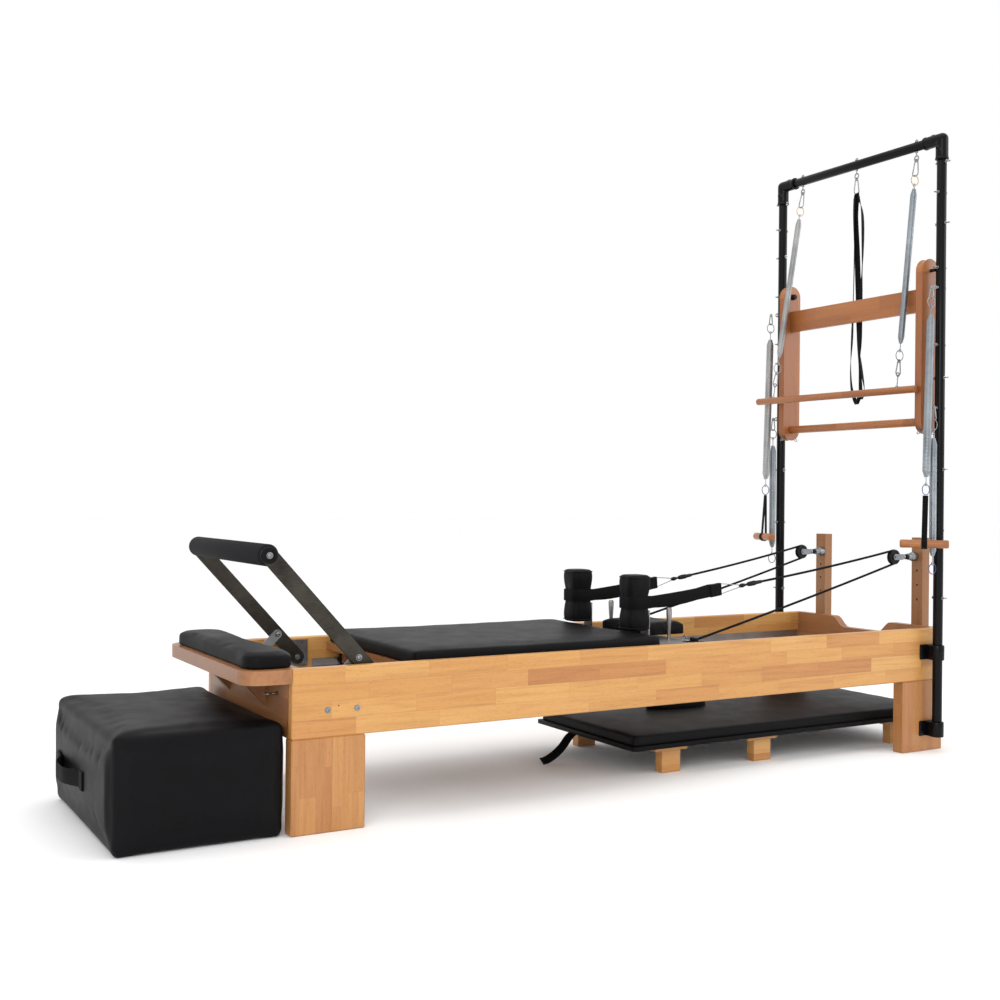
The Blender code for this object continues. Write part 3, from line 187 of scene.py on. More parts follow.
def beech(name, grain, across, tones, width=STAVE_WIDTH, length=STAVE_LENGTH, seed=0.0):
    """Beech staves whose grain runs along one axis and whose rows are stacked along another."""
    finish, tree, shader = new_finish(name, 0.42, Coat_Weight=0.22, Coat_Roughness=0.28)
    axes = add_node(tree, "ShaderNodeSeparateXYZ", None, {0: object_point(tree)}).outputs
    along = axes["XYZ".index(grain)]
    over = axes["XYZ".index(across)]
    deep = axes[3 - "XYZ".index(grain) - "XYZ".index(across)]
    row_place = sums(tree, "DIVIDE", sums(tree, "ADD", over, 10.0 + seed), width)
    row = sums(tree, "FLOOR", row_place)
    shift = add_node(tree, "ShaderNodeTexWhiteNoise", {"noise_dimensions": "1D"}, {"W": row}).outputs[0]
    stave_place = sums(tree, "ADD", sums(tree, "DIVIDE", along, length), sums(tree, "MULTIPLY", shift, 9.0))
    stave = sums(tree, "FLOOR", stave_place)
    cell = add_node(tree, "ShaderNodeCombineXYZ", None, {0: row, 1: stave, 2: seed}).outputs[0]
    chance = add_node(tree, "ShaderNodeTexWhiteNoise", {"noise_dimensions": "3D"}, {"Vector": cell})
    colour = ramp(tree, chance.outputs[0], tones)

    stretched = add_node(tree, "ShaderNodeCombineXYZ", None, {
        0: sums(tree, "ADD", sums(tree, "MULTIPLY", along, 3.0),
                sums(tree, "MULTIPLY", chance.outputs[0], 40.0)),
        1: sums(tree, "DIVIDE", over, GRAIN_WIDTH * 4),
        2: sums(tree, "DIVIDE", deep, GRAIN_WIDTH * 4)}).outputs[0]
    figure = add_node(tree, "ShaderNodeTexNoise", None, {
        "Vector": stretched, "Scale": 1.0, "Detail": 4.0, "Roughness": 0.6, "Distortion": 0.8}).outputs[0]
    shade = ramp(tree, figure, ((0.28, "#C9B49E"), (0.5, "#F1E8DE"), (0.72, "#FFFFFF")))
    colour = blend_colours(tree, "MULTIPLY", 0.55, colour, shade)

    flecks = add_node(tree, "ShaderNodeCombineXYZ", None, {
        0: sums(tree, "DIVIDE", along, FLECK_LENGTH),
        1: sums(tree, "DIVIDE", over, FLECK_WIDTH),
        2: sums(tree, "DIVIDE", deep, FLECK_WIDTH)}).outputs[0]
    fleck = add_node(tree, "ShaderNodeTexNoise", None, {
        "Vector": flecks, "Scale": 1.0, "Detail": 1.0, "Roughness": 0.5}).outputs[0]
    dashes = ramp(tree, fleck, ((0.60, "#FFFFFF"), (0.70, "#B98A5E")))
    colour = blend_colours(tree, "MULTIPLY", 0.26, colour, dashes)

    def near_edge(place, size):
        """One on a thin line where a stave meets its neighbour, and zero elsewhere."""
        share = sums(tree, "FRACT", place)
        edge = sums(tree, "MINIMUM", share, sums(tree, "SUBTRACT", 1.0, share))
        return sums(tree, "LESS_THAN", edge, JOINT_LINE / size)

    line = sums(tree, "MAXIMUM", near_edge(row_place, width * 2), near_edge(stave_place, length * 2))
    colour = blend_colours(tree, "MULTIPLY", sums(tree, "MULTIPLY", line, 0.20), colour, srgb("#8C5A30"))
    tree.links.new(colour, shader.inputs["Base Color"])
    rough = sums(tree, "MULTIPLY_ADD", figure, 0.16, 0.34)
    tree.links.new(rough, shader.inputs["Roughness"])
    grain_bump(tree, shader, sums(tree, "SUBTRACT", figure, sums(tree, "MULTIPLY", line, 0.5)), 0.00025)
    return finish


BEECH_ALONG = beech("beech_staves_along", "X", "Z", WARM_TONES)
# Painted shade: the legs use the darker upright tones.
SHADED_BEECH_UPRIGHT = beech("beech_staves_upright_painted_shade", "Z", "X", SHADED_UPRIGHT_TONES, seed=0.017)
# Painted shade: the platform, the carriage plate and the end boards use the darker cross tones.
SHADED_BEECH_CROSS = beech("beech_staves_across_painted_shade", "Y", "X", SHADED_CROSS_TONES, seed=0.4)
SHADED_BEECH_BOARD = beech("beech_end_board_painted_shade", "Y", "Z", SHADED_CROSS_TONES, seed=0.9)
# Painted shade: the risers use the darkest tones.
SHADED_BEECH_RISER = beech("beech_riser_painted_shade", "Z", "Y", SHADED_RISER_TONES, 0.062, 0.5, seed=0.011)
DEEP_UPRIGHT = beech("deep_beech_upright", "Z", "X", DEEP_TONES, 0.090, 0.6, seed=0.03)
DEEP_CROSS = beech("deep_beech_across", "Y", "Z", DEEP_TONES, 0.095, 0.31, seed=1.7)
print("wood finishes made")

# %% [markdown]
# The pads are covered in black leatherette, a soft vinyl on a knitted backing. It is embossed with a
# pebble grain about 1 mm across. That is too fine to show at this size, so it is drawn about three times
# as coarse. Its gloss is low and soft, which keeps it dark with pale, blurred highlights.

# %% Leatherette
PEBBLE = 0.0028


def leatherette(name, tone, roughness):
    finish, tree, shader = new_finish(
        name, roughness, Specular_IOR_Level=0.09, Coat_Weight=0.02, Coat_Roughness=0.38)
    point = object_point(tree)
    pebbles = add_node(tree, "ShaderNodeTexVoronoi", {"feature": "DISTANCE_TO_EDGE"},
                       {"Vector": point, "Scale": 1 / PEBBLE, "Randomness": 0.9}).outputs[0]
    soft = add_node(tree, "ShaderNodeTexNoise", None,
                    {"Vector": point, "Scale": 14.0, "Detail": 3.0, "Roughness": 0.55}).outputs[0]
    colour = ramp(tree, soft, ((0.3, tone[0]), (0.7, tone[1])))
    tree.links.new(colour, shader.inputs["Base Color"])
    tree.links.new(sums(tree, "MULTIPLY_ADD", soft, 0.18, roughness - 0.09), shader.inputs["Roughness"])
    height = sums(tree, "MINIMUM", pebbles, 0.22)
    grain_bump(tree, shader, sums(tree, "MULTIPLY", height, 4.0), 0.00022)
    return finish


LEATHERETTE = leatherette("black_leatherette", ("#08080A", "#0C0B0E"), 0.46)
PIPING = leatherette("leatherette_welt", ("#111013", "#17161A"), 0.40)

# %% [markdown]
# Straps are woven: a plain weave of yarns about 1.2 mm apart, drawn at 2 mm. Two sine waves crossed at
# right angles give its small squares. The braided rope gets the same waves, but slanted, on the map that
# runs along and round it.

# %% Webbing, rope and foam
YARN = 0.002


def webbing(name, tone, slant=False):
    finish, tree, shader = new_finish(
        name, 0.82, Specular_IOR_Level=0.1, Sheen_Weight=0.03, Sheen_Roughness=0.5)
    if slant:
        point = add_node(tree, "ShaderNodeUVMap", {"uv_map": "along"}).outputs[0]
    else:
        point = object_point(tree)
    axes = add_node(tree, "ShaderNodeSeparateXYZ", None, {0: point}).outputs
    if slant:
        first = sums(tree, "ADD", axes[0], axes[1])
        second = sums(tree, "SUBTRACT", axes[0], axes[1])
    else:
        first = sums(tree, "ADD", axes[0], axes[1])
        second = axes[2]
    rate = math.pi / YARN
    wave = sums(tree, "MULTIPLY", sums(tree, "SINE", sums(tree, "MULTIPLY", first, rate)),
                sums(tree, "SINE", sums(tree, "MULTIPLY", second, rate)))
    height = sums(tree, "MULTIPLY_ADD", wave, 0.5, 0.5)
    # Painted shade: the colour follows the weave's height, darker in the hollows between the yarns.
    tree.links.new(ramp(tree, height, ((0.0, tone[0]), (1.0, tone[1]))), shader.inputs["Base Color"])
    grain_bump(tree, shader, height, 0.0005)
    return finish


WEBBING = webbing("black_webbing", ("#060607", "#0E0E10"))
ROPE = webbing("braided_rope", ("#08080A", "#17171A"), slant=True)


def speckled(name, roughness, tones, grain, depth, metallic=0.0, **plain):
    """A plain surface whose tone and height vary with fine noise."""
    finish, tree, shader = new_finish(name, roughness, metallic, **plain)
    point = object_point(tree)
    fine = add_node(tree, "ShaderNodeTexNoise", None,
                    {"Vector": point, "Scale": 1 / grain, "Detail": 2.0, "Roughness": 0.6}).outputs[0]
    broad = add_node(tree, "ShaderNodeTexNoise", None,
                     {"Vector": point, "Scale": 9.0, "Detail": 3.0, "Roughness": 0.6}).outputs[0]
    tree.links.new(ramp(tree, broad, ((0.3, tones[0]), (0.7, tones[1]))), shader.inputs["Base Color"])
    tree.links.new(sums(tree, "MULTIPLY_ADD", broad, 0.2, roughness - 0.1), shader.inputs["Roughness"])
    grain_bump(tree, shader, fine, depth)
    return finish


FOAM = speckled("foam_grip", 0.80, ("#131315", "#1A1A1D"), 0.0015, 0.0003, Specular_IOR_Level=0.15)
NYLON = speckled("moulded_nylon", 0.42, ("#0B0B0D", "#121214"), 0.004, 0.00006, Specular_IOR_Level=0.2)
POWDER_BLACK = speckled("powder_coated_steel", 0.30, ("#050506", "#09090B"), 0.0022, 0.00006,
                        Specular_IOR_Level=0.12, Coat_Weight=0.08, Coat_Roughness=0.12)

# %% [markdown]
# Bare metals differ by how they were made. The track and the plates are extruded aluminium, brushed
# along their length. The footbar's arms are hot-rolled steel with a dark, worn finish. Springs and rings
# are zinc-plated, and the end rings of the springs are brass or blue to tell their weight.

# %% Metals
def brushed(name, tones, roughness, axis, stretch=60.0, depth=0.00004):
    """Metal with fine scratches along one axis."""
    finish, tree, shader = new_finish(name, roughness, 1.0)
    axes = add_node(tree, "ShaderNodeSeparateXYZ", None, {0: object_point(tree)}).outputs
    rates = [1 / 0.0012] * 3
    rates["XYZ".index(axis)] /= stretch
    parts = {i: sums(tree, "MULTIPLY", axes[i], rates[i]) for i in range(3)}
    scratch_point = add_node(tree, "ShaderNodeCombineXYZ", None, parts).outputs[0]
    scratch = add_node(tree, "ShaderNodeTexNoise", None,
                       {"Vector": scratch_point, "Scale": 1.0, "Detail": 2.0}).outputs[0]
    broad = add_node(tree, "ShaderNodeTexNoise", None,
                     {"Vector": object_point(tree), "Scale": 16.0, "Detail": 3.0}).outputs[0]
    mixed = sums(tree, "MULTIPLY_ADD", broad, 0.6, sums(tree, "MULTIPLY", scratch, 0.4))
    tree.links.new(ramp(tree, mixed, ((0.3, tones[0]), (0.7, tones[1]))), shader.inputs["Base Color"])
    tree.links.new(sums(tree, "MULTIPLY_ADD", scratch, 0.24, roughness - 0.12), shader.inputs["Roughness"])
    grain_bump(tree, shader, scratch, depth)
    return finish


ALUMINIUM = brushed("brushed_aluminium", ("#8F8D8C", "#B3B1AF"), 0.36, "X")
DARK_STEEL = brushed("hot_rolled_steel", ("#302D29", "#504C46"), 0.38, "X", 12.0)
STEEL = speckled("zinc_plated_steel", 0.26, ("#7E8184", "#A0A3A6"), 0.004, 0.00003, 1.0)
GALVANISED = speckled("galvanised_steel", 0.42, ("#7F8385", "#A2A6A8"), 0.006, 0.00008, 1.0)
SPRING_WIRE = speckled("spring_wire", 0.34, ("#858C92", "#A9B0B6"), 0.004, 0.00003, 0.85)
SPRING_GREY = speckled("aged_spring_wire", 0.38, ("#95979A", "#B9B8B6"), 0.004, 0.00003, 0.85)
BRASS = speckled("brass", 0.28, ("#B58A2E", "#D0A848"), 0.004, 0.00003, 1.0)
BLUE_RING = speckled("blue_enamel", 0.35, ("#16305F", "#21468A"), 0.004, 0.00003, Coat_Weight=0.5)
print("finishes", len(bpy.data.materials))

# %% [markdown]
# ## Shaping tools
# Most pieces here are one of five shapes: a block with eased edges, a flat outline given a thickness, a
# turned profile, a round bar swept along a path, or a strap swept along one. Each has a short function
# that adds to a bmesh in the bed's own frame, and `publish` turns the bmesh into a piece.

# %% Shapes added to a bmesh
def ease(bm, start_faces, width, segments=2, sharp=40):
    """Round the sharp edges of the faces added since start_faces."""
    if not width:
        return
    bm.normal_update()
    edges = {e for f in bm.faces[:] if f not in start_faces for e in f.edges
             if len(e.link_faces) == 2 and e.calc_face_angle(0) > math.radians(sharp)}
    bmesh.ops.bevel(bm, geom=list(edges), offset=width, segments=segments, profile=0.5,
                    affect="EDGES", clamp_overlap=True)


def block(bm, x, y, z, width=0.0, segments=2):
    old = set(bm.faces)
    size = Matrix.Diagonal((x[1] - x[0], y[1] - y[0], z[1] - z[0], 1.0))
    place = Matrix.Translation(((x[0] + x[1]) / 2, (y[0] + y[1]) / 2, (z[0] + z[1]) / 2))
    bmesh.ops.create_cube(bm, size=1.0, matrix=place @ size)
    ease(bm, old, width, segments)
    return bm


def skin(bm, rings, closed=False, caps=True):
    """Faces between rings of equal counts, as new vertices. Returns the loops of vertices."""
    loops = [[bm.verts.new(p) for p in ring] for ring in rings]
    pairs = list(zip(loops, loops[1:])) + ([(loops[-1], loops[0])] if closed else [])
    count = len(loops[0])
    for first, second in pairs:
        for i in range(count):
            j = (i + 1) % count
            bm.faces.new((first[i], first[j], second[j], second[i]))
    if caps and not closed:
        bm.faces.new(loops[0])
        bm.faces.new(loops[-1][::-1])
    return loops


def plate(bm, outline, axis, levels, width=0.0, segments=2):
    """Extrude an outline along an axis. The outline holds the other two coordinates in XYZ order."""
    old = set(bm.faces)
    rings = []
    for level in levels:
        ring = []
        for point in outline:
            values = list(point)
            values.insert("XYZ".index(axis), level)
            ring.append(Vector(values))
        rings.append(ring)
    skin(bm, rings)
    ease(bm, old, width, segments)
    return bm


def lathe(bm, start, direction, profile, segments=40):
    """Revolve (distance, radius) pairs about the line from start along direction."""
    turn = Vector((0, 0, 1)).rotation_difference(Vector(direction)).to_matrix()
    rings = []
    for distance, radius in profile:
        ring = []
        for i in range(segments):
            angle = 2 * math.pi * i / segments
            local = Vector((radius * math.cos(angle), radius * math.sin(angle), distance))
            ring.append(Vector(start) + turn @ local)
        rings.append(ring)
    skin(bm, rings)
    return bm


def rod(bm, start, end, radius, segments=32, edge=0.001):
    """A straight round bar with eased ends."""
    line = Vector(end) - Vector(start)
    edge = min(edge, radius * 0.5)
    profile = ((0, radius - edge), (edge * 0.3, radius - edge * 0.3), (edge, radius),
               (line.length - edge, radius), (line.length - edge * 0.3, radius - edge * 0.3),
               (line.length, radius - edge))
    return lathe(bm, start, line, profile, segments)


def tube(bm, path, radius, segments=12, closed=False, radii=None):
    """A round bar swept along a path, without twist."""
    path = [Vector(p) for p in path]
    count = len(path)
    rings = []
    side = None
    for i, point in enumerate(path):
        before = path[i - 1] if (i or closed) else point
        after = path[(i + 1) % count] if (i < count - 1 or closed) else point
        heading = (after - before).normalized()
        if side is None:
            side = heading.orthogonal().normalized()
        side = (side - heading * side.dot(heading)).normalized()
        up = heading.cross(side)
        size = radii[i] if radii else radius
        rings.append([point + size * (side * math.cos(a) + up * math.sin(a))
                      for a in (2 * math.pi * k / segments for k in range(segments))])
    skin(bm, rings, closed)
    return bm


def strap(bm, path, across, width, thick, closed=False):
    """A flat band swept along a path. across is the band's width direction, one for all or one each."""
    path = [Vector(p) for p in path]
    count = len(path)
    ways = across if isinstance(across, list) else [across] * count
    rings = []
    for i, point in enumerate(path):
        before = path[i - 1] if (i or closed) else point
        after = path[(i + 1) % count] if (i < count - 1 or closed) else point
        heading = (after - before).normalized()
        wide = Vector(ways[i])
        wide = (wide - heading * wide.dot(heading)).normalized()
        face = heading.cross(wide)
        half, flat = width / 2, thick / 2
        soft = min(flat * 0.8, 0.001)
        corners = ((-half, -flat + soft), (-half + soft, -flat), (half - soft, -flat), (half, -flat + soft),
                   (half, flat - soft), (half - soft, flat), (-half + soft, flat), (-half, flat - soft))
        rings.append([point + wide * a + face * b for a, b in corners])
    skin(bm, rings, closed)
    return bm


def arc(centre, radius, start, end, steps):
    """Points along an arc in a plane, with angles in degrees."""
    angles = [math.radians(start + (end - start) * i / steps) for i in range(steps + 1)]
    return [(centre[0] + radius * math.cos(a), centre[1] + radius * math.sin(a)) for a in angles]


def stadium(start, end, width, steps=16):
    heading = math.degrees(math.atan2(end[1] - start[1], end[0] - start[0]))
    return (arc(end, width / 2, heading - 90, heading + 90, steps)
            + arc(start, width / 2, heading + 90, heading + 270, steps))


def smooth_path(points, steps=8):
    """A Catmull-Rom curve through the points."""
    points = [Vector(p) for p in points]
    ends = [2 * points[0] - points[1]] + points + [2 * points[-1] - points[-2]]
    path = []
    for a, b, c, d in zip(ends, ends[1:], ends[2:], ends[3:]):
        for k in range(steps):
            t = k / steps
            path.append(0.5 * (2 * b + (c - a) * t + (2 * a - 5 * b + 4 * c - d) * t * t
                               + (3 * b - a - 3 * c + d) * t ** 3))
    return path + [points[-1]]


def publish(name, bm, finish, body, replaced=(), angle=38):
    bmesh.ops.remove_doubles(bm, verts=bm.verts, dist=1e-6)
    bmesh.ops.recalc_face_normals(bm, faces=bm.faces)
    mesh = bpy.data.meshes.new(name)
    bm.to_mesh(mesh)
    bm.free()
    mesh.transform(Matrix.Translation(ORIGIN))
    return publish_mesh(name, mesh, finish, body, replaced, angle)


def publish_mesh(name, mesh, finish, body, replaced=(), angle=38):
    mesh.shade_smooth()
    mesh.set_sharp_from_angle(angle=math.radians(angle))
    obj = bpy.data.objects.new(name, mesh)
    bpy.context.scene.collection.objects.link(obj)
    if not mesh.materials:
        mesh.materials.append(finish)
    if isinstance(body, str):
        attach(obj, body)
    if replaced:
        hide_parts(*replaced)
    return obj


# %% [markdown]
# Fasteners and eyes repeat by the dozen, so a small Geometry Nodes tree puts a copy of one template on
# each of a list of places. Each place carries its own turn as an attribute. The result is made a plain
# mesh, because instances don't survive the export.

# %% Copies of a template, by Geometry Nodes
def new_tree(name, inputs):
    """A Geometry Nodes tree with a geometry input and output and these named inputs."""
    tree = bpy.data.node_groups.new(name, "GeometryNodeTree")
    face = tree.interface
    face.new_socket("Geometry", in_out="INPUT", socket_type="NodeSocketGeometry")
    for label, kind in inputs:
        face.new_socket(label, in_out="INPUT", socket_type=kind)
    face.new_socket("Geometry", in_out="OUTPUT", socket_type="NodeSocketGeometry")
    return tree, tree.nodes.new("NodeGroupInput"), tree.nodes.new("NodeGroupOutput")


def finish_tree(tree, group_in, group_out, geometry):
    """Every tree ends in real geometry with its finish on it."""
    real = add_node(tree, "GeometryNodeRealizeInstances", None, {0: geometry})
    coated = add_node(tree, "GeometryNodeSetMaterial", None,
                      {"Geometry": real.outputs[0], "Material": group_in.outputs["Finish"]})
    tree.links.new(coated.outputs[0], group_out.inputs[0])


def run_tree(tree, source, values):
    """Run a tree on an object and return the result as a plain mesh."""
    modifier = source.modifiers.new("Build", "NODES")
    modifier.node_group = tree
    for item in tree.interface.items_tree:
        if item.in_out == "INPUT" and item.name in values:
            modifier[item.identifier] = values[item.name]
    bpy.context.view_layer.update()
    graph = bpy.context.evaluated_depsgraph_get()
    mesh = bpy.data.meshes.new_from_object(source.evaluated_get(graph))
    source.modifiers.remove(modifier)
    bpy.data.objects.remove(source)
    return mesh


COPY_TREE, copy_in, copy_out = new_tree("copies_on_places", (
    ("Template", "NodeSocketObject"), ("Finish", "NodeSocketMaterial")))
copy_shape = add_node(COPY_TREE, "GeometryNodeObjectInfo", None, {"Object": copy_in.outputs["Template"]})
copy_turn = add_node(COPY_TREE, "GeometryNodeInputNamedAttribute", {"data_type": "FLOAT_VECTOR"},
                     {"Name": "turn"})
copy_points = add_node(COPY_TREE, "GeometryNodeInstanceOnPoints", None, {
    "Points": copy_in.outputs["Geometry"], "Instance": copy_shape.outputs["Geometry"],
    "Rotation": copy_turn.outputs["Attribute"]})
finish_tree(COPY_TREE, copy_in, copy_out, copy_points.outputs[0])


def copies(name, template, places, finish, body, angle=38):
    """Copies of a template bmesh, made along +Z, at (position, direction, side) places."""
    shape = bpy.data.meshes.new(name + "_template")
    bmesh.ops.recalc_face_normals(template, faces=template.faces)
    template.to_mesh(shape)
    template.free()
    shape_object = bpy.data.objects.new(name + "_template", shape)
    points = bpy.data.meshes.new(name + "_places")
    points.from_pydata([ORIGIN + Vector(p) for p, _, _ in places], [], [])
    turns = points.attributes.new("turn", "FLOAT_VECTOR", "POINT")
    for i, (_, direction, side) in enumerate(places):
        up = Vector(direction).normalized()
        wide = Vector(side)
        wide = (wide - up * wide.dot(up)).normalized()
        turn = Matrix((wide, up.cross(wide), up)).transposed().to_euler()
        turns.data[i].vector = turn
    source = bpy.data.objects.new(name + "_places", points)
    bpy.context.scene.collection.objects.link(source)
    mesh = run_tree(COPY_TREE, source, {"Template": shape_object, "Finish": finish})
    bpy.data.objects.remove(shape_object)
    mesh.attributes.remove(mesh.attributes["turn"]) if "turn" in mesh.attributes else None
    return publish_mesh(name, mesh, finish, body, angle=angle)


print("tools ready")

# %% [markdown]
# ## The bed
# The boards of the bed are right as the frame has them, so they stay and only get their finish. The
# grain runs along each board: along the rails, up the legs, and across the end boards.

# %% Wood finishes on the frame's boards
# The legs, end boards, platform, carriage plate and risers get the darker beech copies, which paint in their
# shade.
CAD_FINISHES = {
    "near_side_rail": BEECH_ALONG, "far_side_rail": BEECH_ALONG,
    "near_foot_leg": SHADED_BEECH_UPRIGHT, "far_foot_leg": SHADED_BEECH_UPRIGHT,
    "near_head_leg": SHADED_BEECH_UPRIGHT, "far_head_leg": SHADED_BEECH_UPRIGHT,
    "foot_crossboard": SHADED_BEECH_BOARD, "head_endboard": SHADED_BEECH_BOARD, "standing_platform": SHADED_BEECH_CROSS,
    "carriage_base": SHADED_BEECH_CROSS, "near_riser": SHADED_BEECH_RISER, "far_riser": SHADED_BEECH_RISER,
    "mat_board": BEECH_ALONG, "near_track": ALUMINIUM, "far_track": ALUMINIUM, "head_plate": ALUMINIUM,
    "spring_bar": STEEL, "near_footbar_bracket": STEEL, "far_footbar_bracket": STEEL,
}
for node, finish in CAD_FINISHES.items():
    materials = NODES[node].data.materials
    materials.clear()
    materials.append(finish)
print("boards finished", len(CAD_FINISHES))

# %% [markdown]
# ## Upholstery
# The pads are firm foam wrapped in leatherette and stapled under a board. Foam pushes the cover out a
# little, most in the middle of each face, and the cover pulls tight at the corners. Each pad starts as a
# closed box of even squares, a little smaller than its space. A short cloth simulation with air pressure
# inside swells it, a limit keeps each point near where it began, and the result is made part of the mesh.

# %% Pads by cloth simulation
def grid_box(low, high, cell, corner):
    """A closed box of near-square faces whose vertical corners are rounded."""
    bm = bmesh.new()
    sizes = [high[i] - low[i] for i in range(3)]
    counts = [max(2, round(size / cell)) for size in sizes]
    places = {}

    def vertex(i, j, k):
        if (i, j, k) not in places:
            point = [low[a] + sizes[a] * n / counts[a] for a, n in enumerate((i, j, k))]
            for side_x, edge_x in ((-1, low[0]), (1, high[0])):
                for side_y, edge_y in ((-1, low[1]), (1, high[1])):
                    centre = (edge_x - side_x * corner, edge_y - side_y * corner)
                    away = ((point[0] - centre[0]) * side_x, (point[1] - centre[1]) * side_y)
                    if away[0] > 0 and away[1] > 0:
                        reach = max(away) / math.hypot(*away)
                        point[0] = centre[0] + side_x * away[0] * reach
                        point[1] = centre[1] + side_y * away[1] * reach
            places[i, j, k] = bm.verts.new(point)
        return places[i, j, k]

    for axis in range(3):
        first, second = [a for a in range(3) if a != axis]
        for level in (0, counts[axis]):
            for u in range(counts[first]):
                for v in range(counts[second]):
                    corners = []
                    for du, dv in ((0, 0), (1, 0), (1, 1), (0, 1)):
                        index = [0, 0, 0]
                        index[axis], index[first], index[second] = level, u + du, v + dv
                        corners.append(vertex(*index))
                    bm.faces.new(corners)
    bmesh.ops.recalc_face_normals(bm, faces=bm.faces)
    return bm


def swell(obj, reach, pressure=4.0, flat_below=None):
    """Inflate a closed mesh by cloth simulation. No point moves further than reach."""
    rest = [v.co.copy() for v in obj.data.vertices]
    cloth = obj.modifiers.new("Cloth", "CLOTH")
    cloth.settings.quality = 4
    cloth.settings.mass = 0.4
    cloth.settings.tension_stiffness = 12
    cloth.settings.compression_stiffness = 12
    cloth.settings.shear_stiffness = 6
    cloth.settings.bending_stiffness = 1.2
    cloth.settings.use_pressure = True
    cloth.settings.uniform_pressure_force = pressure
    cloth.settings.effector_weights.gravity = 0.0
    cloth.collision_settings.use_collision = False
    cloth.point_cache.frame_start, cloth.point_cache.frame_end = 1, 20
    for step in range(1, 21):
        bpy.context.scene.frame_set(step)
    graph = bpy.context.evaluated_depsgraph_get()
    swollen = [v.co.copy() for v in obj.evaluated_get(graph).data.vertices]
    obj.modifiers.remove(cloth)
    bpy.context.scene.frame_set(1)
    for vertex, start, grown in zip(obj.data.vertices, rest, swollen):
        move = grown - start
        if move.length > reach:
            move *= reach / move.length
        vertex.co = start + move
    if flat_below is not None:
        for vertex, start in zip(obj.data.vertices, rest):
            if start.z < flat_below:
                vertex.co.z = max(vertex.co.z, start.z)
                share = 0.35
                vertex.co.xy = start.xy.lerp(vertex.co.xy, share)


def swollen_pad(name, low, high, corner, cell, reach, body, node, shape=None):
    """A pad in the space of its CAD solid, swollen by simulation and smoothed once."""
    room = reach * 0.75
    low = Vector(low) + Vector((room, room, 0.0))
    high = Vector(high) - Vector((room, room, room))
    bm = grid_box(low, high, cell, max(corner - room, 0.004))
    if shape:
        for vertex in bm.verts:
            vertex.co = shape(vertex.co.copy(), low, high)
    mesh = bpy.data.meshes.new(name)
    bm.to_mesh(mesh)
    bm.free()
    obj = bpy.data.objects.new(name, mesh)
    bpy.context.scene.collection.objects.link(obj)
    swell(obj, reach, flat_below=low.z + cell * 0.6)
    bm = bmesh.new()
    bm.from_mesh(obj.data)
    bpy.data.objects.remove(obj)
    for _ in range(2):
        bmesh.ops.smooth_vert(bm, verts=bm.verts, factor=0.35, use_axis_x=True, use_axis_y=True,
                              use_axis_z=True)
    crease_dimples(bm, low, high)
    made = publish(name, bm, LEATHERETTE, body, (node,), 180)
    finer = made.modifiers.new("Subdivision", "SUBSURF")
    finer.levels = finer.render_levels = 1
    return made


def crease_dimples(bm, low, high):
    """Slight waves in the cover, strongest beside the corners, where it was pulled tight."""
    for vertex in bm.verts:
        point = vertex.co
        side = min(point.x - low.x, high.x - point.x, point.y - low.y, high.y - point.y)
        pull = math.exp(-max(side, 0.0) / 0.03)
        wave = noise.noise(point * 22.0) * 0.0009 + noise.noise(point * 6.0) * 0.0010
        vertex.co.z += wave * (0.35 + pull) if point.z > (low.z + high.z) / 2 else 0.0


# %% Carriage, step and floor mat pads
low, high = span("carriage_cushion")
swollen_pad("carriage_pad", low, high, 0.022, 0.0105, 0.006, "carriage", "carriage_cushion")
low, high = span("mat_cushion")
swollen_pad("mat_pad", low, high, 0.014, 0.0125, 0.006, "floor_mat", "mat_cushion")


def step_shape(point, low, high):
    """Drop the step pad's top towards its ends."""
    share = abs(2 * (point.y - (low.y + high.y) / 2) / (high.y - low.y))
    point.z -= 0.006 * max(0.0, share - 0.6) * (point.z - low.z) / (high.z - low.z)
    return point


low, high = span("platform_cushion")
swollen_pad("step_pad", low, high, 0.055, 0.0085, 0.010, "frame", "platform_cushion", step_shape)
low, high = span("headrest")
swollen_pad("head_pad", low, high, 0.018, 0.0070, 0.009, "headrest", "headrest")

# %% [markdown]
# The sitting box is a plywood box padded all round, so its faces are nearly flat and its edges are round
# and firm. Its cover is sewn from panels: a seam runs round the top, a little below the edge, and down
# each upright edge. The seams are a shallow groove with a row of stitches beside it. Only the seam round
# the top is drawn, as a shallow groove.

# %% Sitting box
BOX_LOW, BOX_HIGH = span("sitting_box")
BOX_ROUND = 0.020
BOX_CELL = 0.0095


def round_box(point, low, high, radius):
    """Push a point of a box out of its sharp edges, so that edges and corners are round."""
    inner = Vector([min(max(point[i], low[i] + radius), high[i] - radius) for i in range(3)])
    away = point - inner
    return inner + away.normalized() * radius if away.length > 1e-6 else point


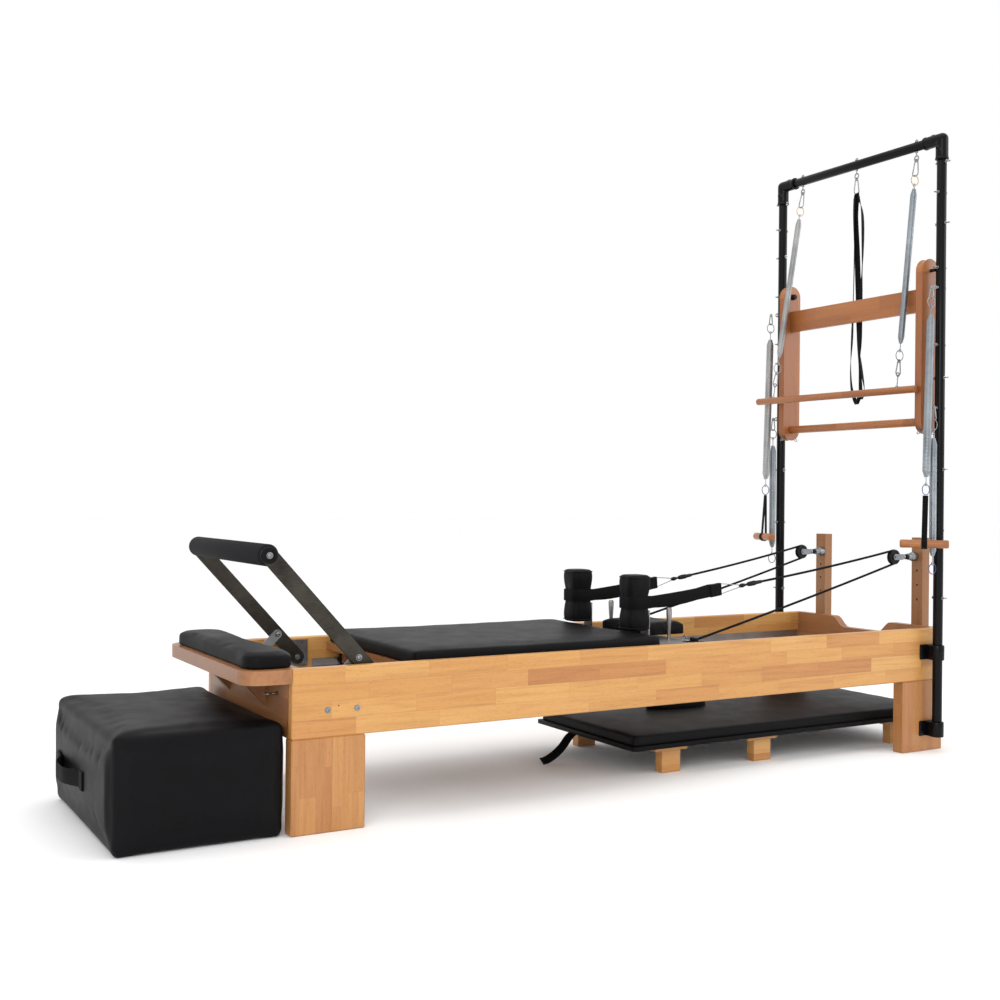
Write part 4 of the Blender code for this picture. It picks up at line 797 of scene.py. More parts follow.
def padded_box():
    room = 0.005
    low = BOX_LOW + Vector((room, room, 0.0))
    high = BOX_HIGH - Vector((room, room, room))
    bm = grid_box(low, high, BOX_CELL, 0.006)
    for vertex in bm.verts:
        vertex.co = round_box(vertex.co.copy(), low, high, BOX_ROUND)
    mesh = bpy.data.meshes.new("box_start")
    bm.to_mesh(mesh)
    bm.free()
    obj = bpy.data.objects.new("box_start", mesh)
    bpy.context.scene.collection.objects.link(obj)
    swell(obj, 0.006, flat_below=low.z + 0.004)
    bm = bmesh.new()
    bm.from_mesh(obj.data)
    bpy.data.objects.remove(obj)
    bm.normal_update()
    for vertex in bm.verts:
        point = vertex.co
        wave = noise.noise(point * 5.0) * 0.0012 + noise.noise(point * 17.0) * 0.0005
        groove = math.exp(-(((point.z - (high.z - 0.030)) / 0.0045) ** 2)) * 0.0016
        floor_share = min(1.0, max(0.0, (point.z - low.z) / 0.02))
        vertex.co = point + vertex.normal * (wave - groove) * floor_share
    for vertex in bm.verts:
        vertex.co.z = max(vertex.co.z, 0.0)
    made = publish("sitting_box_cover", bm, LEATHERETTE, "sitting_box", ("sitting_box",),
                   180)
    finer = made.modifiers.new("Subdivision", "SUBSURF")
    finer.levels = finer.render_levels = 1


padded_box()

# %% [markdown]
# ## Tower
# The tower is black-coated steel tube, 32 mm across, in cast elbows like those of a handrail. Two cast
# clamps on each side bolt it to the rail and to the leg.

# %% Tower tubes, elbows and clamps
POST_RADIUS = 0.016
ELBOW_RADIUS = 0.023
SLEEVE = 0.070
PUSH = span("near_push_arm")
PUSH_PIVOT = (middle("near_push_arm").x, PUSH[1].z - 0.037)
TOP_Z = span("tower_top_bar")[1].z - ELBOW_RADIUS
POST_X = middle("tower_top_bar").x
POST_Y = span("tower_top_bar")[1].y - ELBOW_RADIUS
POST_FOOT = span("near_tower_post")[0].z
CLAMP_BOTTOMS = (0.307, 0.052)
CLAMP_HEIGHT = 0.050


def bead(distance, radius, height=0.002, width=0.008):
    """Profile points of a rolled bead round a cast fitting."""
    points = []
    for i in range(7):
        angle = math.pi * i / 6
        points.append((distance - math.cos(angle) * width / 2, radius + math.sin(angle) * height))
    return points


def tower():
    for name, side in SIDES:
        bm = bmesh.new()
        y = side * POST_Y
        rod(bm, (POST_X, y, POST_FOOT), (POST_X, y, TOP_Z - SLEEVE), POST_RADIUS, 40, 0.002)
        publish(f"{name}_post_tube", bm, POWDER_BLACK, "frame", (f"{name}_tower_post",))
        clamps(name, side)
    bm = bmesh.new()
    rod(bm, (POST_X, -POST_Y + 0.02, TOP_Z), (POST_X, POST_Y - 0.02, TOP_Z), POST_RADIUS, 40)
    publish("top_tube", bm, POWDER_BLACK, "frame", ("tower_top_bar",))
    for name, side in SIDES:
        elbow(name, side)


def elbow(name, side):
    """A cast elbow: two beaded sleeves and a rounded heel."""
    bm = bmesh.new()
    inner = ELBOW_RADIUS - 0.0025
    body = [(0, POST_RADIUS + 0.001)] + bead(0.0045, inner) + [(SLEEVE, inner)]
    lathe(bm, (POST_X, side * (POST_Y - SLEEVE), TOP_Z), (0, side, 0), body)
    lathe(bm, (POST_X, side * POST_Y, TOP_Z - SLEEVE), (0, 0, 1), body)
    bmesh.ops.create_uvsphere(bm, u_segments=40, v_segments=20, radius=inner,
                              matrix=Matrix.Translation((POST_X, side * POST_Y, TOP_Z)))
    for offset, way in (((0, -side * 0.034, 0.0), (0, 0, 1)), ((0, 0, -0.034), (-1, 0, 0))):
        start = Vector((POST_X, side * POST_Y, TOP_Z)) + Vector(offset)
        lathe(bm, start, way, ((0, 0.008), (inner + 0.0015, 0.008), (inner + 0.0022, 0.006)), 16)
    mesh = bpy.data.meshes.new("parts")
    bm.to_mesh(mesh)
    bm.free()
    joined = remeshed(mesh, 0.0022)
    publish(f"{name}_elbow", joined, POWDER_BLACK, "frame", angle=180)


def remeshed(mesh, voxel):
    """Fuse overlapping closed shapes into one smooth casting by voxel remesh."""
    obj = bpy.data.objects.new("casting", mesh)
    bpy.context.scene.collection.objects.link(obj)
    fuse = obj.modifiers.new("Remesh", "REMESH")
    fuse.mode = "VOXEL"
    fuse.voxel_size = voxel
    soft = obj.modifiers.new("Smooth", "SMOOTH")
    soft.factor, soft.iterations = 0.5, 3
    bpy.context.view_layer.update()
    made = bpy.data.meshes.new_from_object(obj.evaluated_get(bpy.context.evaluated_depsgraph_get()))
    bpy.data.objects.remove(obj)
    bm = bmesh.new()
    bm.from_mesh(made)
    return bm


def clamps(name, side):
    """Two-part clamp: a flange bolted to the board and a knuckle round the tube."""
    bm = bmesh.new()
    face = side * (HALF_WIDTH + 0.0003)
    for z in CLAMP_BOTTOMS:
        flange = sorted((face, face + side * 0.005))
        block(bm, (POST_X - 0.045, POST_X + 0.045), flange, (z, z + CLAMP_HEIGHT), 0.0018)
        rod(bm, (POST_X, side * POST_Y, z), (POST_X, side * POST_Y, z + CLAMP_HEIGHT),
            POST_RADIUS + 0.006, 36, 0.002)
        web = sorted((face + side * 0.004, side * POST_Y))
        block(bm, (POST_X - 0.020, POST_X + 0.020), web, (z + 0.001, z + CLAMP_HEIGHT - 0.001), 0.0015)
    publish(f"{name}_clamps", bm, POWDER_BLACK, "frame")


tower()

# %% [markdown]
# The push-through bar is the wooden frame that swings between the posts. Its arms turn on a bolt with a
# round black knob at each post.

# %% Push-through bar
def push_through_bar():
    board_low, board_high = span("push_crossboard")
    for name, side in SIDES:
        low, high = span(f"{name}_push_arm")
        bm = bmesh.new()
        x = (low.x + high.x) / 2
        width = high.x - low.x
        outline = stadium((x, high.z - width / 2), (x, low.z + width / 2), width, 24)
        plate(bm, outline, "Y", (low.y, high.y), 0.0035, 3)
        publish(f"{name}_push_side", bm, DEEP_UPRIGHT, "push_through_bar",
                (f"{name}_push_arm",))
        bm = bmesh.new()
        inner = low.y if side > 0 else high.y
        lathe(bm, (x, inner + side * 0.0006, PUSH_PIVOT[1]), (0, -side, 0),
              ((0, 0.0112), (0.003, 0.0112), (0.004, 0.0085), (0.006, 0.0085), (0.0075, 0.0100),
               (0.014, 0.0100), (0.017, 0.0085), (0.018, 0.0060)), 32)
        rod(bm, (x, inner, PUSH_PIVOT[1]), (x, side * (POST_Y - POST_RADIUS), PUSH_PIVOT[1]), 0.0055, 20)
        publish(f"{name}_pivot_knob", bm, NYLON, "frame")
    bm = bmesh.new()
    block(bm, (board_low.x, board_high.x), (board_low.y, board_high.y), (board_low.z, board_high.z), 0.003, 3)
    publish("push_board", bm, DEEP_CROSS, "push_through_bar", ("push_crossboard",))
    low, high = span("push_dowel")
    centre = middle("push_dowel")
    bm = bmesh.new()
    rod(bm, (centre.x, low.y, centre.z), (centre.x, high.y, centre.z), (high.z - low.z) / 2, 40)
    publish("push_rail", bm, DEEP_CROSS, "push_through_bar", ("push_dowel",))


push_through_bar()

# %% [markdown]
# ## Springs
# A tower spring is close-wound wire: its turns touch at rest. Each end tapers to a hook that holds a
# welded ring, and a snap hook clips the ring to an eye. The coil is a Geometry Nodes spiral, swept with
# the wire's round section, so its turns come from the spring's length and the wire's diameter.

# %% The coil tree
SPRING_TREE, spring_in, spring_out = new_tree("close_wound_spring", (
    ("Turns", "NodeSocketFloat"), ("Radius", "NodeSocketFloat"), ("Height", "NodeSocketFloat"),
    ("Wire", "NodeSocketFloat"), ("Cone Turns", "NodeSocketFloat"), ("Cone Height", "NodeSocketFloat"),
    ("Tip Radius", "NodeSocketFloat"), ("Finish", "NodeSocketMaterial")))


def spiral(rotations, first, last, height, lift):
    made = add_node(SPRING_TREE, "GeometryNodeCurveSpiral", None, {
        "Resolution": 14, "Rotations": rotations, "Start Radius": first, "End Radius": last,
        "Height": height})
    move = add_node(SPRING_TREE, "ShaderNodeCombineXYZ", None, {2: lift}).outputs[0]
    return add_node(SPRING_TREE, "GeometryNodeTransform", None,
                    {"Geometry": made.outputs[0], "Translation": move}).outputs[0]


ends = spring_in.outputs
upper_lift = sums(SPRING_TREE, "ADD", ends["Cone Height"], ends["Height"])
coils = add_node(SPRING_TREE, "GeometryNodeJoinGeometry")
for part in (
        spiral(ends["Cone Turns"], ends["Radius"], ends["Tip Radius"], ends["Cone Height"], upper_lift),
        spiral(ends["Turns"], ends["Radius"], ends["Radius"], ends["Height"], ends["Cone Height"]),
        spiral(ends["Cone Turns"], ends["Tip Radius"], ends["Radius"], ends["Cone Height"], 0.0)):
    SPRING_TREE.links.new(part, coils.inputs[0])
wire = add_node(SPRING_TREE, "GeometryNodeCurvePrimitiveCircle", None, {
    "Resolution": 6, "Radius": sums(SPRING_TREE, "MULTIPLY", ends["Wire"], 0.5)})
swept = add_node(SPRING_TREE, "GeometryNodeCurveToMesh", None,
                 {"Curve": coils.outputs[0], "Profile Curve": wire.outputs[0], "Fill Caps": True})
finish_tree(SPRING_TREE, spring_in, spring_out, swept.outputs[0])


def coil_spring(name, start, end, radius, finish, body, wire_size=0.0030, pitch=None, cone=0.020):
    """A coil from start to end, in the bed's frame, with cones at both ends."""
    start, end = Vector(start), Vector(end)
    line = end - start
    pitch = pitch or wire_size * 1.04
    cone_turns = round(cone / pitch)
    height = line.length - 2 * cone
    source = bpy.data.objects.new(name + "_start", bpy.data.meshes.new(name + "_start"))
    bpy.context.scene.collection.objects.link(source)
    mesh = run_tree(SPRING_TREE, source, {
        "Turns": float(round(height / pitch)), "Radius": radius - wire_size / 2, "Height": height,
        "Wire": wire_size, "Cone Turns": float(cone_turns), "Cone Height": cone,
        "Tip Radius": radius * 0.42, "Finish": finish})
    turn = Vector((0, 0, 1)).rotation_difference(line).to_matrix().to_4x4()
    mesh.transform(Matrix.Translation(ORIGIN + start) @ turn)
    made = publish_mesh(name, mesh, finish, body, angle=60)
    print(name, "turns", round(height / pitch) + 2 * cone_turns, "faces", len(mesh.polygons))
    return made


# %% [markdown]
# Rings, snap hooks and eye bolts are the small hardware that hangs everything. They are modelled once
# each, along +Z, and copied to their places.

# %% Hardware templates
RING_RADIUS = 0.0172


def ring_template(radius=RING_RADIUS, wire_size=0.0028):
    bm = bmesh.new()
    path = [(radius * math.cos(a), 0.0, radius * math.sin(a))
            for a in (2 * math.pi * i / 32 for i in range(32))]
    tube(bm, path, wire_size / 2, 10, closed=True)
    return bm


def snap_hook_template(length=0.050, wire_size=0.0040):
    """A spring snap: a pear-shaped hook, a straight gate and a small barrel at its narrow end."""
    bm = bmesh.new()
    wide, narrow = length * 0.20, length * 0.10
    path = []
    for x, z in arc((0.0, length - wide), wide, -20, 200, 16):
        path.append((x, 0.0, z))
    for x, z in arc((0.0, narrow), narrow, 200, 340, 10):
        path.append((x, 0.0, z))
    tube(bm, path, wire_size / 2, 10, closed=True)
    rod(bm, (wide * 0.92, 0.0, length - wide), (narrow * 0.95, 0.0, narrow * 1.4), wire_size * 0.42, 12)
    lathe(bm, (0.0, 0.0, narrow * 0.5), (0, 0, 1), ((0, 0.0022), (0.002, 0.0038), (0.006, 0.0038),
                                                    (0.008, 0.0022)), 16)
    return bm


def eye_bolt_template(reach, eye=0.0075, wire_size=0.0040, grip=0.016):
    """An eye bolt through a tube at the origin: the eye at +Z, and the nut and thread end at -Z."""
    bm = bmesh.new()
    rod(bm, (0, 0, -grip - 0.010), (0, 0, reach - eye), wire_size / 2, 12)
    path = [(eye * math.cos(a), 0.0, reach + eye * math.sin(a))
            for a in (2 * math.pi * i / 24 for i in range(24))]
    tube(bm, path, wire_size / 2, 10, closed=True)
    for z, height in ((-grip - 0.0055, 0.0042), (grip + 0.0010, 0.0035)):
        hexagon = [(0.0052 * math.cos(math.radians(a)), 0.0052 * math.sin(math.radians(a)))
                   for a in range(0, 360, 60)]
        plate(bm, hexagon, "Z", (z, z + height), 0.0004, 1)
    lathe(bm, (0, 0, -grip - 0.0014), (0, 0, 1), ((0, 0.0066), (0.0012, 0.0066)), 24)
    return bm


def bolt_head_template(radius, height, socket=True):
    """A low button head with a hex socket, sitting on a washer."""
    bm = bmesh.new()
    lathe(bm, (0, 0, 0), (0, 0, 1), ((0, radius * 1.35), (height * 0.25, radius * 1.35)), 32)
    outline = [(0.0, radius), (height * 0.45, radius), (height * 0.8, radius * 0.85),
               (height, radius * 0.62)]
    if socket:
        outline += [(height, radius * 0.48), (height * 0.35, radius * 0.44)]
    lathe(bm, (0, 0, height * 0.2), (0, 0, 1), outline, 32 if not socket else 30)
    return bm


# %% Eye bolts on the posts and the top bar
NEAR_EYES = (1.967, 1.8665, 1.7626, 1.6153, 1.5484, 1.3579, 1.2476, 1.1475, 0.9424, 0.7392, 0.5147)
FAR_EYES = (1.9794, 1.8765, 1.7735, 1.6183, 1.5480, 1.4361, 1.3664, 1.1475, 0.9524, 0.7516, 0.4971)
HAND_EYE_Z, LEG_EYE_Z, EYE_Z = 1.548, 1.148, 2.000
places = []
for side, heights in ((-1, NEAR_EYES), (1, FAR_EYES)):
    for number, z in enumerate(heights):
        held = min(abs(z - HAND_EYE_Z), abs(z - LEG_EYE_Z)) < 0.002
        facing = (-1, 0, 0) if held or number % 2 else (0, side, 0)
        level = (0, 0, 1) if held else (facing[1], facing[0], 0)
        places.append(((POST_X, side * POST_Y, z), facing, level))
copies("post_eye_bolts", eye_bolt_template(0.0265, 0.0060, 0.0034), places, STEEL, "frame")
ROLL_EYE_Y = 0.270
places = [((POST_X, y, TOP_Z), (0, 0, -1), (0, 1, 0)) for y in (-ROLL_EYE_Y, 0.0, ROLL_EYE_Y)]
copies("top_eye_bolts", eye_bolt_template(0.0400, 0.0085, 0.0046), places, STEEL, "frame")


# %% [markdown]
# Each tower spring hangs on its line: a snap hook from the eye, a ring, the coil, another ring, and what
# it holds. Neighbouring links stand at right angles, as links of a chain do.

# %% Hung springs
def wire_hook(bm, centre, line, side, reach=0.012):
    """The spring's end wire: out of the cone and once round its ring."""
    tip = Vector(centre)
    away = Vector(line).normalized()
    wide = Vector(side).normalized()
    path = [tip + away * reach]
    for i in range(15):
        angle = math.radians(-90 + 330 * i / 14)
        path.append(tip + wide * 0.0042 * math.cos(angle) - away * 0.0042 * math.sin(angle) * 1.2)
    tube(bm, path, 0.0014, 8)


def hung_spring(name, body, eye, end, coil, rings, radius, finish, ring_finishes, node):
    """Snap hook, ring, coil and ring along the line from an eye. Distances run from the eye."""
    eye, end = Vector(eye), Vector(end)
    line = (end - eye).normalized()
    cross = Vector((0, 1, 0))
    spring = coil_spring(f"{name}_coil", eye + line * coil[0], eye + line * coil[1], radius, finish, body)
    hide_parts(node)
    copies(f"{name}_upper_snap", snap_hook_template(rings[0] - RING_RADIUS + 0.0065),
           [(eye - line * 0.003, line, cross)],
           STEEL, body)
    for place, ring_finish, label in zip(rings, ring_finishes, ("upper", "lower")):
        copies(f"{name}_{label}_ring", ring_template(), [(eye + line * place, line, (1, 0, 0))],
               ring_finish, body)
    bm = bmesh.new()
    wire_hook(bm, eye + line * (rings[0] + RING_RADIUS), line, cross,
              coil[0] - rings[0] - RING_RADIUS + 0.002)
    wire_hook(bm, eye + line * (rings[1] - RING_RADIUS), -line, cross,
              rings[1] - coil[1] - RING_RADIUS + 0.002)
    publish(f"{name}_end_wires", bm, finish, body)


bar_low, bar_high = span("roll_down_bar")
ROLL_BAR_RADIUS = 0.0125
ROLL_HOOK_Y = 0.285
BAR_Z = (bar_low.z + bar_high.z) / 2
BAR_NEAR = Vector((bar_high.x - ROLL_BAR_RADIUS, bar_low.y, BAR_Z))
BAR_FAR = Vector((bar_low.x + ROLL_BAR_RADIUS, bar_high.y, BAR_Z))
BAR_LINE = (BAR_FAR - BAR_NEAR).normalized()
BAR_MIDDLE = (BAR_NEAR + BAR_FAR) / 2
for name, side in SIDES:
    share = side * ROLL_HOOK_Y / BAR_LINE.y
    hook = BAR_MIDDLE + BAR_LINE * share + Vector((0, 0, ROLL_BAR_RADIUS))
    eye = Vector((POST_X, side * ROLL_EYE_Y, EYE_Z))
    line = (hook - eye).normalized()
    hung_spring(f"{name}_roll", "roll_down", eye, hook, (0.100, 0.630), (0.070, 0.672), 0.011,
                SPRING_WIRE if name == "near" else SPRING_GREY, (BRASS, STEEL), f"{name}_roll_spring")
    copies(f"{name}_roll_lower_snap", snap_hook_template(0.0535), [(eye + line * 0.6862, line, (1, 0, 0))],
           STEEL, "roll_down")
    bm = bmesh.new()
    eye_top = eye + line * 0.737
    tube(bm, [eye_top + Vector((0.0065 * math.cos(a), 0, 0.0065 * math.sin(a)))
              for a in (2 * math.pi * i / 24 for i in range(24))], 0.0017, 8, closed=True)
    rod(bm, eye_top + Vector((0, 0, -0.006)), hook + Vector((0, 0, -0.004)), 0.0018, 10)
    lathe(bm, hook, (0, 0, 1), ((-0.001, 0.0050), (0.002, 0.0050), (0.0035, 0.0036)), 20)
    publish(f"{name}_bar_eye", bm, STEEL, "roll_down")
bm = bmesh.new()
rod(bm, BAR_MIDDLE - BAR_LINE * 0.3655, BAR_MIDDLE + BAR_LINE * 0.3655, ROLL_BAR_RADIUS, 40, 0.003)
publish("roll_bar", bm, DEEP_CROSS, "roll_down", ("roll_down_bar",))

# %% Side springs, handles and leg springs
HANDLE_YAW = {"near": math.radians(-50.0), "far": math.radians(71.0)}
HAND_EYE_X, LEG_EYE_X, SIDE_EYE_Y = POST_X - 0.0513, POST_X - 0.0358, POST_Y + 0.006
HAND_LEAN = math.radians(1.7)


GRIP_WRAP = 0.0160
GRIP_TAPE_WIDTH, GRIP_TAPE_THICK = 0.018, 0.0022


def spring_handle(name, side):
    """A turned wooden grip on a black strap that goes round its middle."""
    body = f"{name}_hand"
    eye = Vector((HAND_EYE_X, side * SIDE_EYE_Y, HAND_EYE_Z))
    line = Vector((-math.sin(HAND_LEAN), 0, -math.cos(HAND_LEAN)))
    centre = middle(f"{name}_spring_handle")
    along = Vector((math.cos(HANDLE_YAW[name]), math.sin(HANDLE_YAW[name]), 0))
    hung_spring(f"{name}_hand", body, eye, centre, (0.096, 0.632), (0.052, 0.674), 0.0135,
                SPRING_WIRE if name == "near" else SPRING_GREY, (STEEL, BLUE_RING), f"{name}_hand_spring")
    bm = bmesh.new()
    lathe(bm, centre - along * 0.077, along,
          ((0, 0.0100), (0.002, 0.0125), (0.006, 0.0138), (0.040, 0.0134), (0.077, 0.0140),
           (0.114, 0.0134), (0.148, 0.0138), (0.152, 0.0125), (0.154, 0.0100)), 36)
    publish(f"{name}_grip", bm, DEEP_CROSS, body, (f"{name}_spring_handle",))
    top = eye + line * 0.6935
    cross = Vector((0, 0, 1)).cross(along)
    around = []
    for i in range(25):
        angle = math.radians(62 - 304 * i / 24)
        around.append(centre + cross * GRIP_WRAP * math.cos(angle)
                      + Vector((0, 0, GRIP_WRAP * math.sin(angle))))
    path = [top + cross * 0.0015] + around + [top - cross * 0.0015]
    bm = bmesh.new()
    strap(bm, path, along, GRIP_TAPE_WIDTH, GRIP_TAPE_THICK)
    publish(f"{name}_grip_strap", bm, WEBBING, body)


def leg_spring(name, side):
    eye = Vector((LEG_EYE_X, side * SIDE_EYE_Y, LEG_EYE_Z))
    hung_spring(f"{name}_leg", f"{name}_leg_spring", eye, eye + Vector((0, 0, -1)), (0.103, 0.493),
                (0.058, 0.536), 0.0125, SPRING_WIRE, (STEEL, BLUE_RING), f"{name}_leg_spring")


for name, side in SIDES:
    spring_handle(name, side)
    leg_spring(name, side)

# %% [markdown]
# The pair of hanging loops is black cotton tape, folded over a snap hook. Each loop is one closed band.
# Left alone, the bands twist and cross, so their strands sway apart, meet and part again. They lie
# behind the push-through crossboard.

# %% Hanging loops
LOOP_WIDTH = 0.022
LOOP_TOP = 1.936
LOOP_BOTTOM = 1.190
LOOP_THICK = 0.0016
BOARD_BACK = span("push_crossboard")[1].x
BOARD_TOP = span("push_crossboard")[1].z
# Each strand is (share of the way down, sideways offset, quarter turns of the tape)
LOOP_STRANDS = (
    (((0.0, -0.008, 0.3), (0.10, -0.026, 0.9), (0.30, -0.022, 0.8), (0.50, -0.010, 0.2), (0.68, -0.008, 0.1),
      (0.82, -0.013, 0.9), (0.93, -0.030, 0.7), (0.975, -0.026, 0.4)),
     ((0.0, 0.003, 0.1), (0.10, 0.006, 0.3), (0.30, 0.004, 0.1), (0.50, 0.004, 0.0), (0.68, 0.002, 0.1),
      (0.82, 0.000, 0.6), (0.93, -0.008, 0.2), (0.975, -0.012, 0.1))),
    (((0.0, -0.002, 0.1), (0.10, 0.008, 0.1), (0.30, 0.010, 0.1), (0.50, 0.008, 0.1), (0.68, 0.004, 0.3),
      (0.82, -0.004, 0.6), (0.93, -0.010, 0.3), (1.0, 0.004, 0.1)),
     ((0.0, 0.008, 0.4), (0.10, 0.015, 0.5), (0.30, 0.018, 0.7), (0.50, 0.026, 0.7), (0.68, 0.030, 0.85),
      (0.82, 0.036, 0.6), (0.93, 0.030, 0.4), (1.0, 0.010, 0.1))),
)


def loop_depth(z):
    """How far back a strand hangs: from under the bar at the top to clear of the board's back."""
    share = min(1.0, (LOOP_TOP - z) / (LOOP_TOP - BOARD_TOP - 0.02))
    return POST_X + (BOARD_BACK + 0.0135 - POST_X) * share ** 0.8


def strand(points, bottom, depth):
    spine = smooth_path([(share, side, turns) for share, side, turns in points], 5)
    path, ways = [], []
    for share, side, turns in spine:
        z = LOOP_TOP - (LOOP_TOP - bottom) * share
        path.append(Vector((loop_depth(z) + depth, side, z)))
        turn = turns * math.pi / 2 * 0.9
        ways.append(Vector((0.8 * math.sin(turn), math.cos(turn), 0.0)))
    return path, ways


bm = bmesh.new()
for number, (left, right) in enumerate(LOOP_STRANDS):
    left_path, left_ways = strand(left, LOOP_BOTTOM, -0.0022 + 0.0044 * number)
    right_path, right_ways = strand(right, LOOP_BOTTOM, 0.0026 - 0.0044 * number)
    strap(bm, left_path + right_path[::-1], left_ways + right_ways[::-1], LOOP_WIDTH, LOOP_THICK, closed=True)
publish("cotton_loops", bm, WEBBING, "loops", ("hanging_loops",), 60)
copies("loop_snap", snap_hook_template(0.060), [((POST_X, 0.0, 1.998), (0, 0, -1), (1, 0, 0))], STEEL,
       "loops")

# %% [markdown]
# ## Pulleys and ropes
# Each rope runs from its strap's clip over a grooved sheave and back down to a cleat on the carriage. The
# sheave turns between two steel cheeks, and a swivel lets the block point along the rope.

# %% Pulley blocks
ROPE_RADIUS = 0.0038
GROOVE_RADIUS = 0.018
WRAP = GROOVE_RADIUS + 0.0040 + 0.0005


def pulley(name):
    centre = middle(f"{name}_sheave")
    swivel_x = POST_X + 0.0079
    bm = bmesh.new()
    profile = [(-0.0075, 0.0240), (-0.0068, 0.0250), (-0.0056, 0.0250)]
    for i in range(9):
        angle = math.pi * i / 8
        profile.append((-0.0048 * math.cos(angle), 0.0240 - 0.0062 * math.sin(angle)))
    profile += [(0.0056, 0.0250), (0.0068, 0.0250), (0.0075, 0.0240), (0.0075, 0.0190), (0.0058, 0.0175),
                (0.0058, 0.0090), (0.0075, 0.0080), (0.0075, 0.0037)]
    front = [(-0.0075, 0.0037), (-0.0075, 0.0080), (-0.0058, 0.0090), (-0.0058, 0.0175),
             (-0.0075, 0.0190)]
    lathe(bm, centre, (0, 1, 0), front + profile, 48)
    publish(f"{name}_sheave_wheel", bm, NYLON, f"{name}_sheave", (f"{name}_sheave",))

    bm = bmesh.new()
    bridge = centre.x + 0.029
    for edge in (-1, 1):
        outline = stadium((centre.x, centre.z), (bridge, centre.z), 0.019, 14)
        levels = sorted((centre.y + edge * 0.0085, centre.y + edge * 0.0105))
        plate(bm, outline, "Y", levels, 0.0005, 2)
    block(bm, (bridge + 0.001, bridge + 0.007), (centre.y - 0.0088, centre.y + 0.0088),
          (centre.z - 0.008, centre.z + 0.008), 0.001)
    lathe(bm, (centre.x, centre.y - 0.0140, centre.z), (0, 1, 0),
          ((0, 0.0032), (0.0010, 0.0044), (0.0034, 0.0046), (0.0036, 0.0030), (0.0244, 0.0030),
           (0.0246, 0.0046), (0.0270, 0.0044), (0.0280, 0.0032)), 24)
    lathe(bm, (bridge + 0.005, centre.y, centre.z), (1, 0, 0),
          ((0, 0.0050), (0.002, 0.0062), (0.006, 0.0062), (0.008, 0.0045), (0.010, 0.0045)), 24)
    ball = [(-0.0095 * math.cos(math.pi * i / 12), 0.0095 * math.sin(math.pi * i / 12))
            for i in range(2, 12)]
    lathe(bm, (swivel_x, centre.y, centre.z), (1, 0, 0), ball, 28)
    publish(f"{name}_block", bm, STEEL, f"{name}_pulley", (f"{name}_pulley_block",))

    bm = bmesh.new()
    start = swivel_x + 0.0103
    end = LENGTH - start
    lathe(bm, (start, centre.y, centre.z), (1, 0, 0),
          ((0, 0.0070), (0.0005, 0.0088), (0.008, 0.0088), (0.0085, 0.0078), (0.010, 0.0078)), 28)
    publish(f"{name}_swivel_collar", bm, NYLON, "frame")
    bm = bmesh.new()
    lathe(bm, (start + 0.010, centre.y, centre.z), (1, 0, 0),
          ((0, 0.0085), (0.001, 0.0105), (0.004, 0.0115), (0.018, 0.0115), (0.020, 0.0130),
           (0.022, 0.0155), (end - 0.012, 0.0155), (end - 0.010, 0.0148)), 36)
    publish(f"{name}_mount", bm, GALVANISED, "frame", (f"{name}_pulley_mount",))


for name, side in SIDES:
    pulley(name)

# %% [markdown]
# The braided rope is 8 mm polyester. The upper run starts in a black sleeve at the strap's clip. When
# the carriage rolls, both runs follow it at one end and stay at the sheave at the other, so each run is
# a mesh of its own, not attached to any body.

# %% Ropes
CLIP_APEX = {name: Vector((1.5668, side * 0.1743, 0.5594)) for name, side in SIDES}
SLEEVE_END = {name: Vector((1.6549, side * 0.1773, 0.5717)) for name, side in SIDES}


def rope_mesh(name, path, segments=12):
    """A rope along a path, with a map that runs along it and round it in metres."""
    bm = bmesh.new()
    tube(bm, path, ROPE_RADIUS, segments)
    lengths = [0.0]
    for a, b in zip(path, path[1:]):
        lengths.append(lengths[-1] + (Vector(b) - Vector(a)).length)
    bm.verts.index_update()
    layer = bm.loops.layers.uv.new("along")
    step = 2 * math.pi * ROPE_RADIUS / segments
    for face in bm.faces:
        columns = [loop.vert.index % segments for loop in face.loops]
        wraps = max(columns) - min(columns) > segments / 2
        for loop, column in zip(face.loops, columns):
            turn = column + segments if wraps and column < segments / 2 else column
            loop[layer].uv = (lengths[loop.vert.index // segments], turn * step)
    made = publish(name, bm, ROPE, None, angle=60)
    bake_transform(made)
    print(name, "length", round(lengths[-1], 3))
    return made


def tangent(centre, point, sign):
    """Angle at which a line from point touches the rope's circle round the sheave."""
    away = Vector((point.x - centre.x, point.z - centre.z))
    return math.atan2(away.y, away.x) + sign * math.acos(WRAP / away.length)


def sagging(first, last, steps, sag):
    return [first.lerp(last, i / steps) - Vector((0, 0, 4 * sag * (i / steps) * (1 - i / steps)))
            for i in range(steps)]


for name, side in SIDES:
    centre = middle(f"{name}_sheave")
    plate_top = span("carriage_base")[1].z + 0.0003 + 0.006
    cleat = Vector((span("carriage_base")[1].x - 0.022, side * 0.215, plate_top + 0.006))
    start = SLEEVE_END[name]
    top, bottom = tangent(centre, start, -1), tangent(centre, cleat, 1)
    while bottom > top:
        bottom -= 2 * math.pi

    def on_sheave(angle):
        return centre + Vector((WRAP * math.cos(angle), 0, WRAP * math.sin(angle)))

    half = (top + bottom) / 2
    over = [on_sheave(top + (half - top) * i / 14) for i in range(15)]
    under = [on_sheave(bottom + (half - bottom) * i / 14) for i in range(15)]
    upper = rope_mesh(f"{name}_rope_upper", sagging(start - Vector((0.02, 0, 0.0025)), over[0], 40, 0.004)
                      + over)
    rope_mesh(f"{name}_rope_lower", sagging(cleat, under[0], 48, 0.004) + under)
    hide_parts(f"{name}_rope")

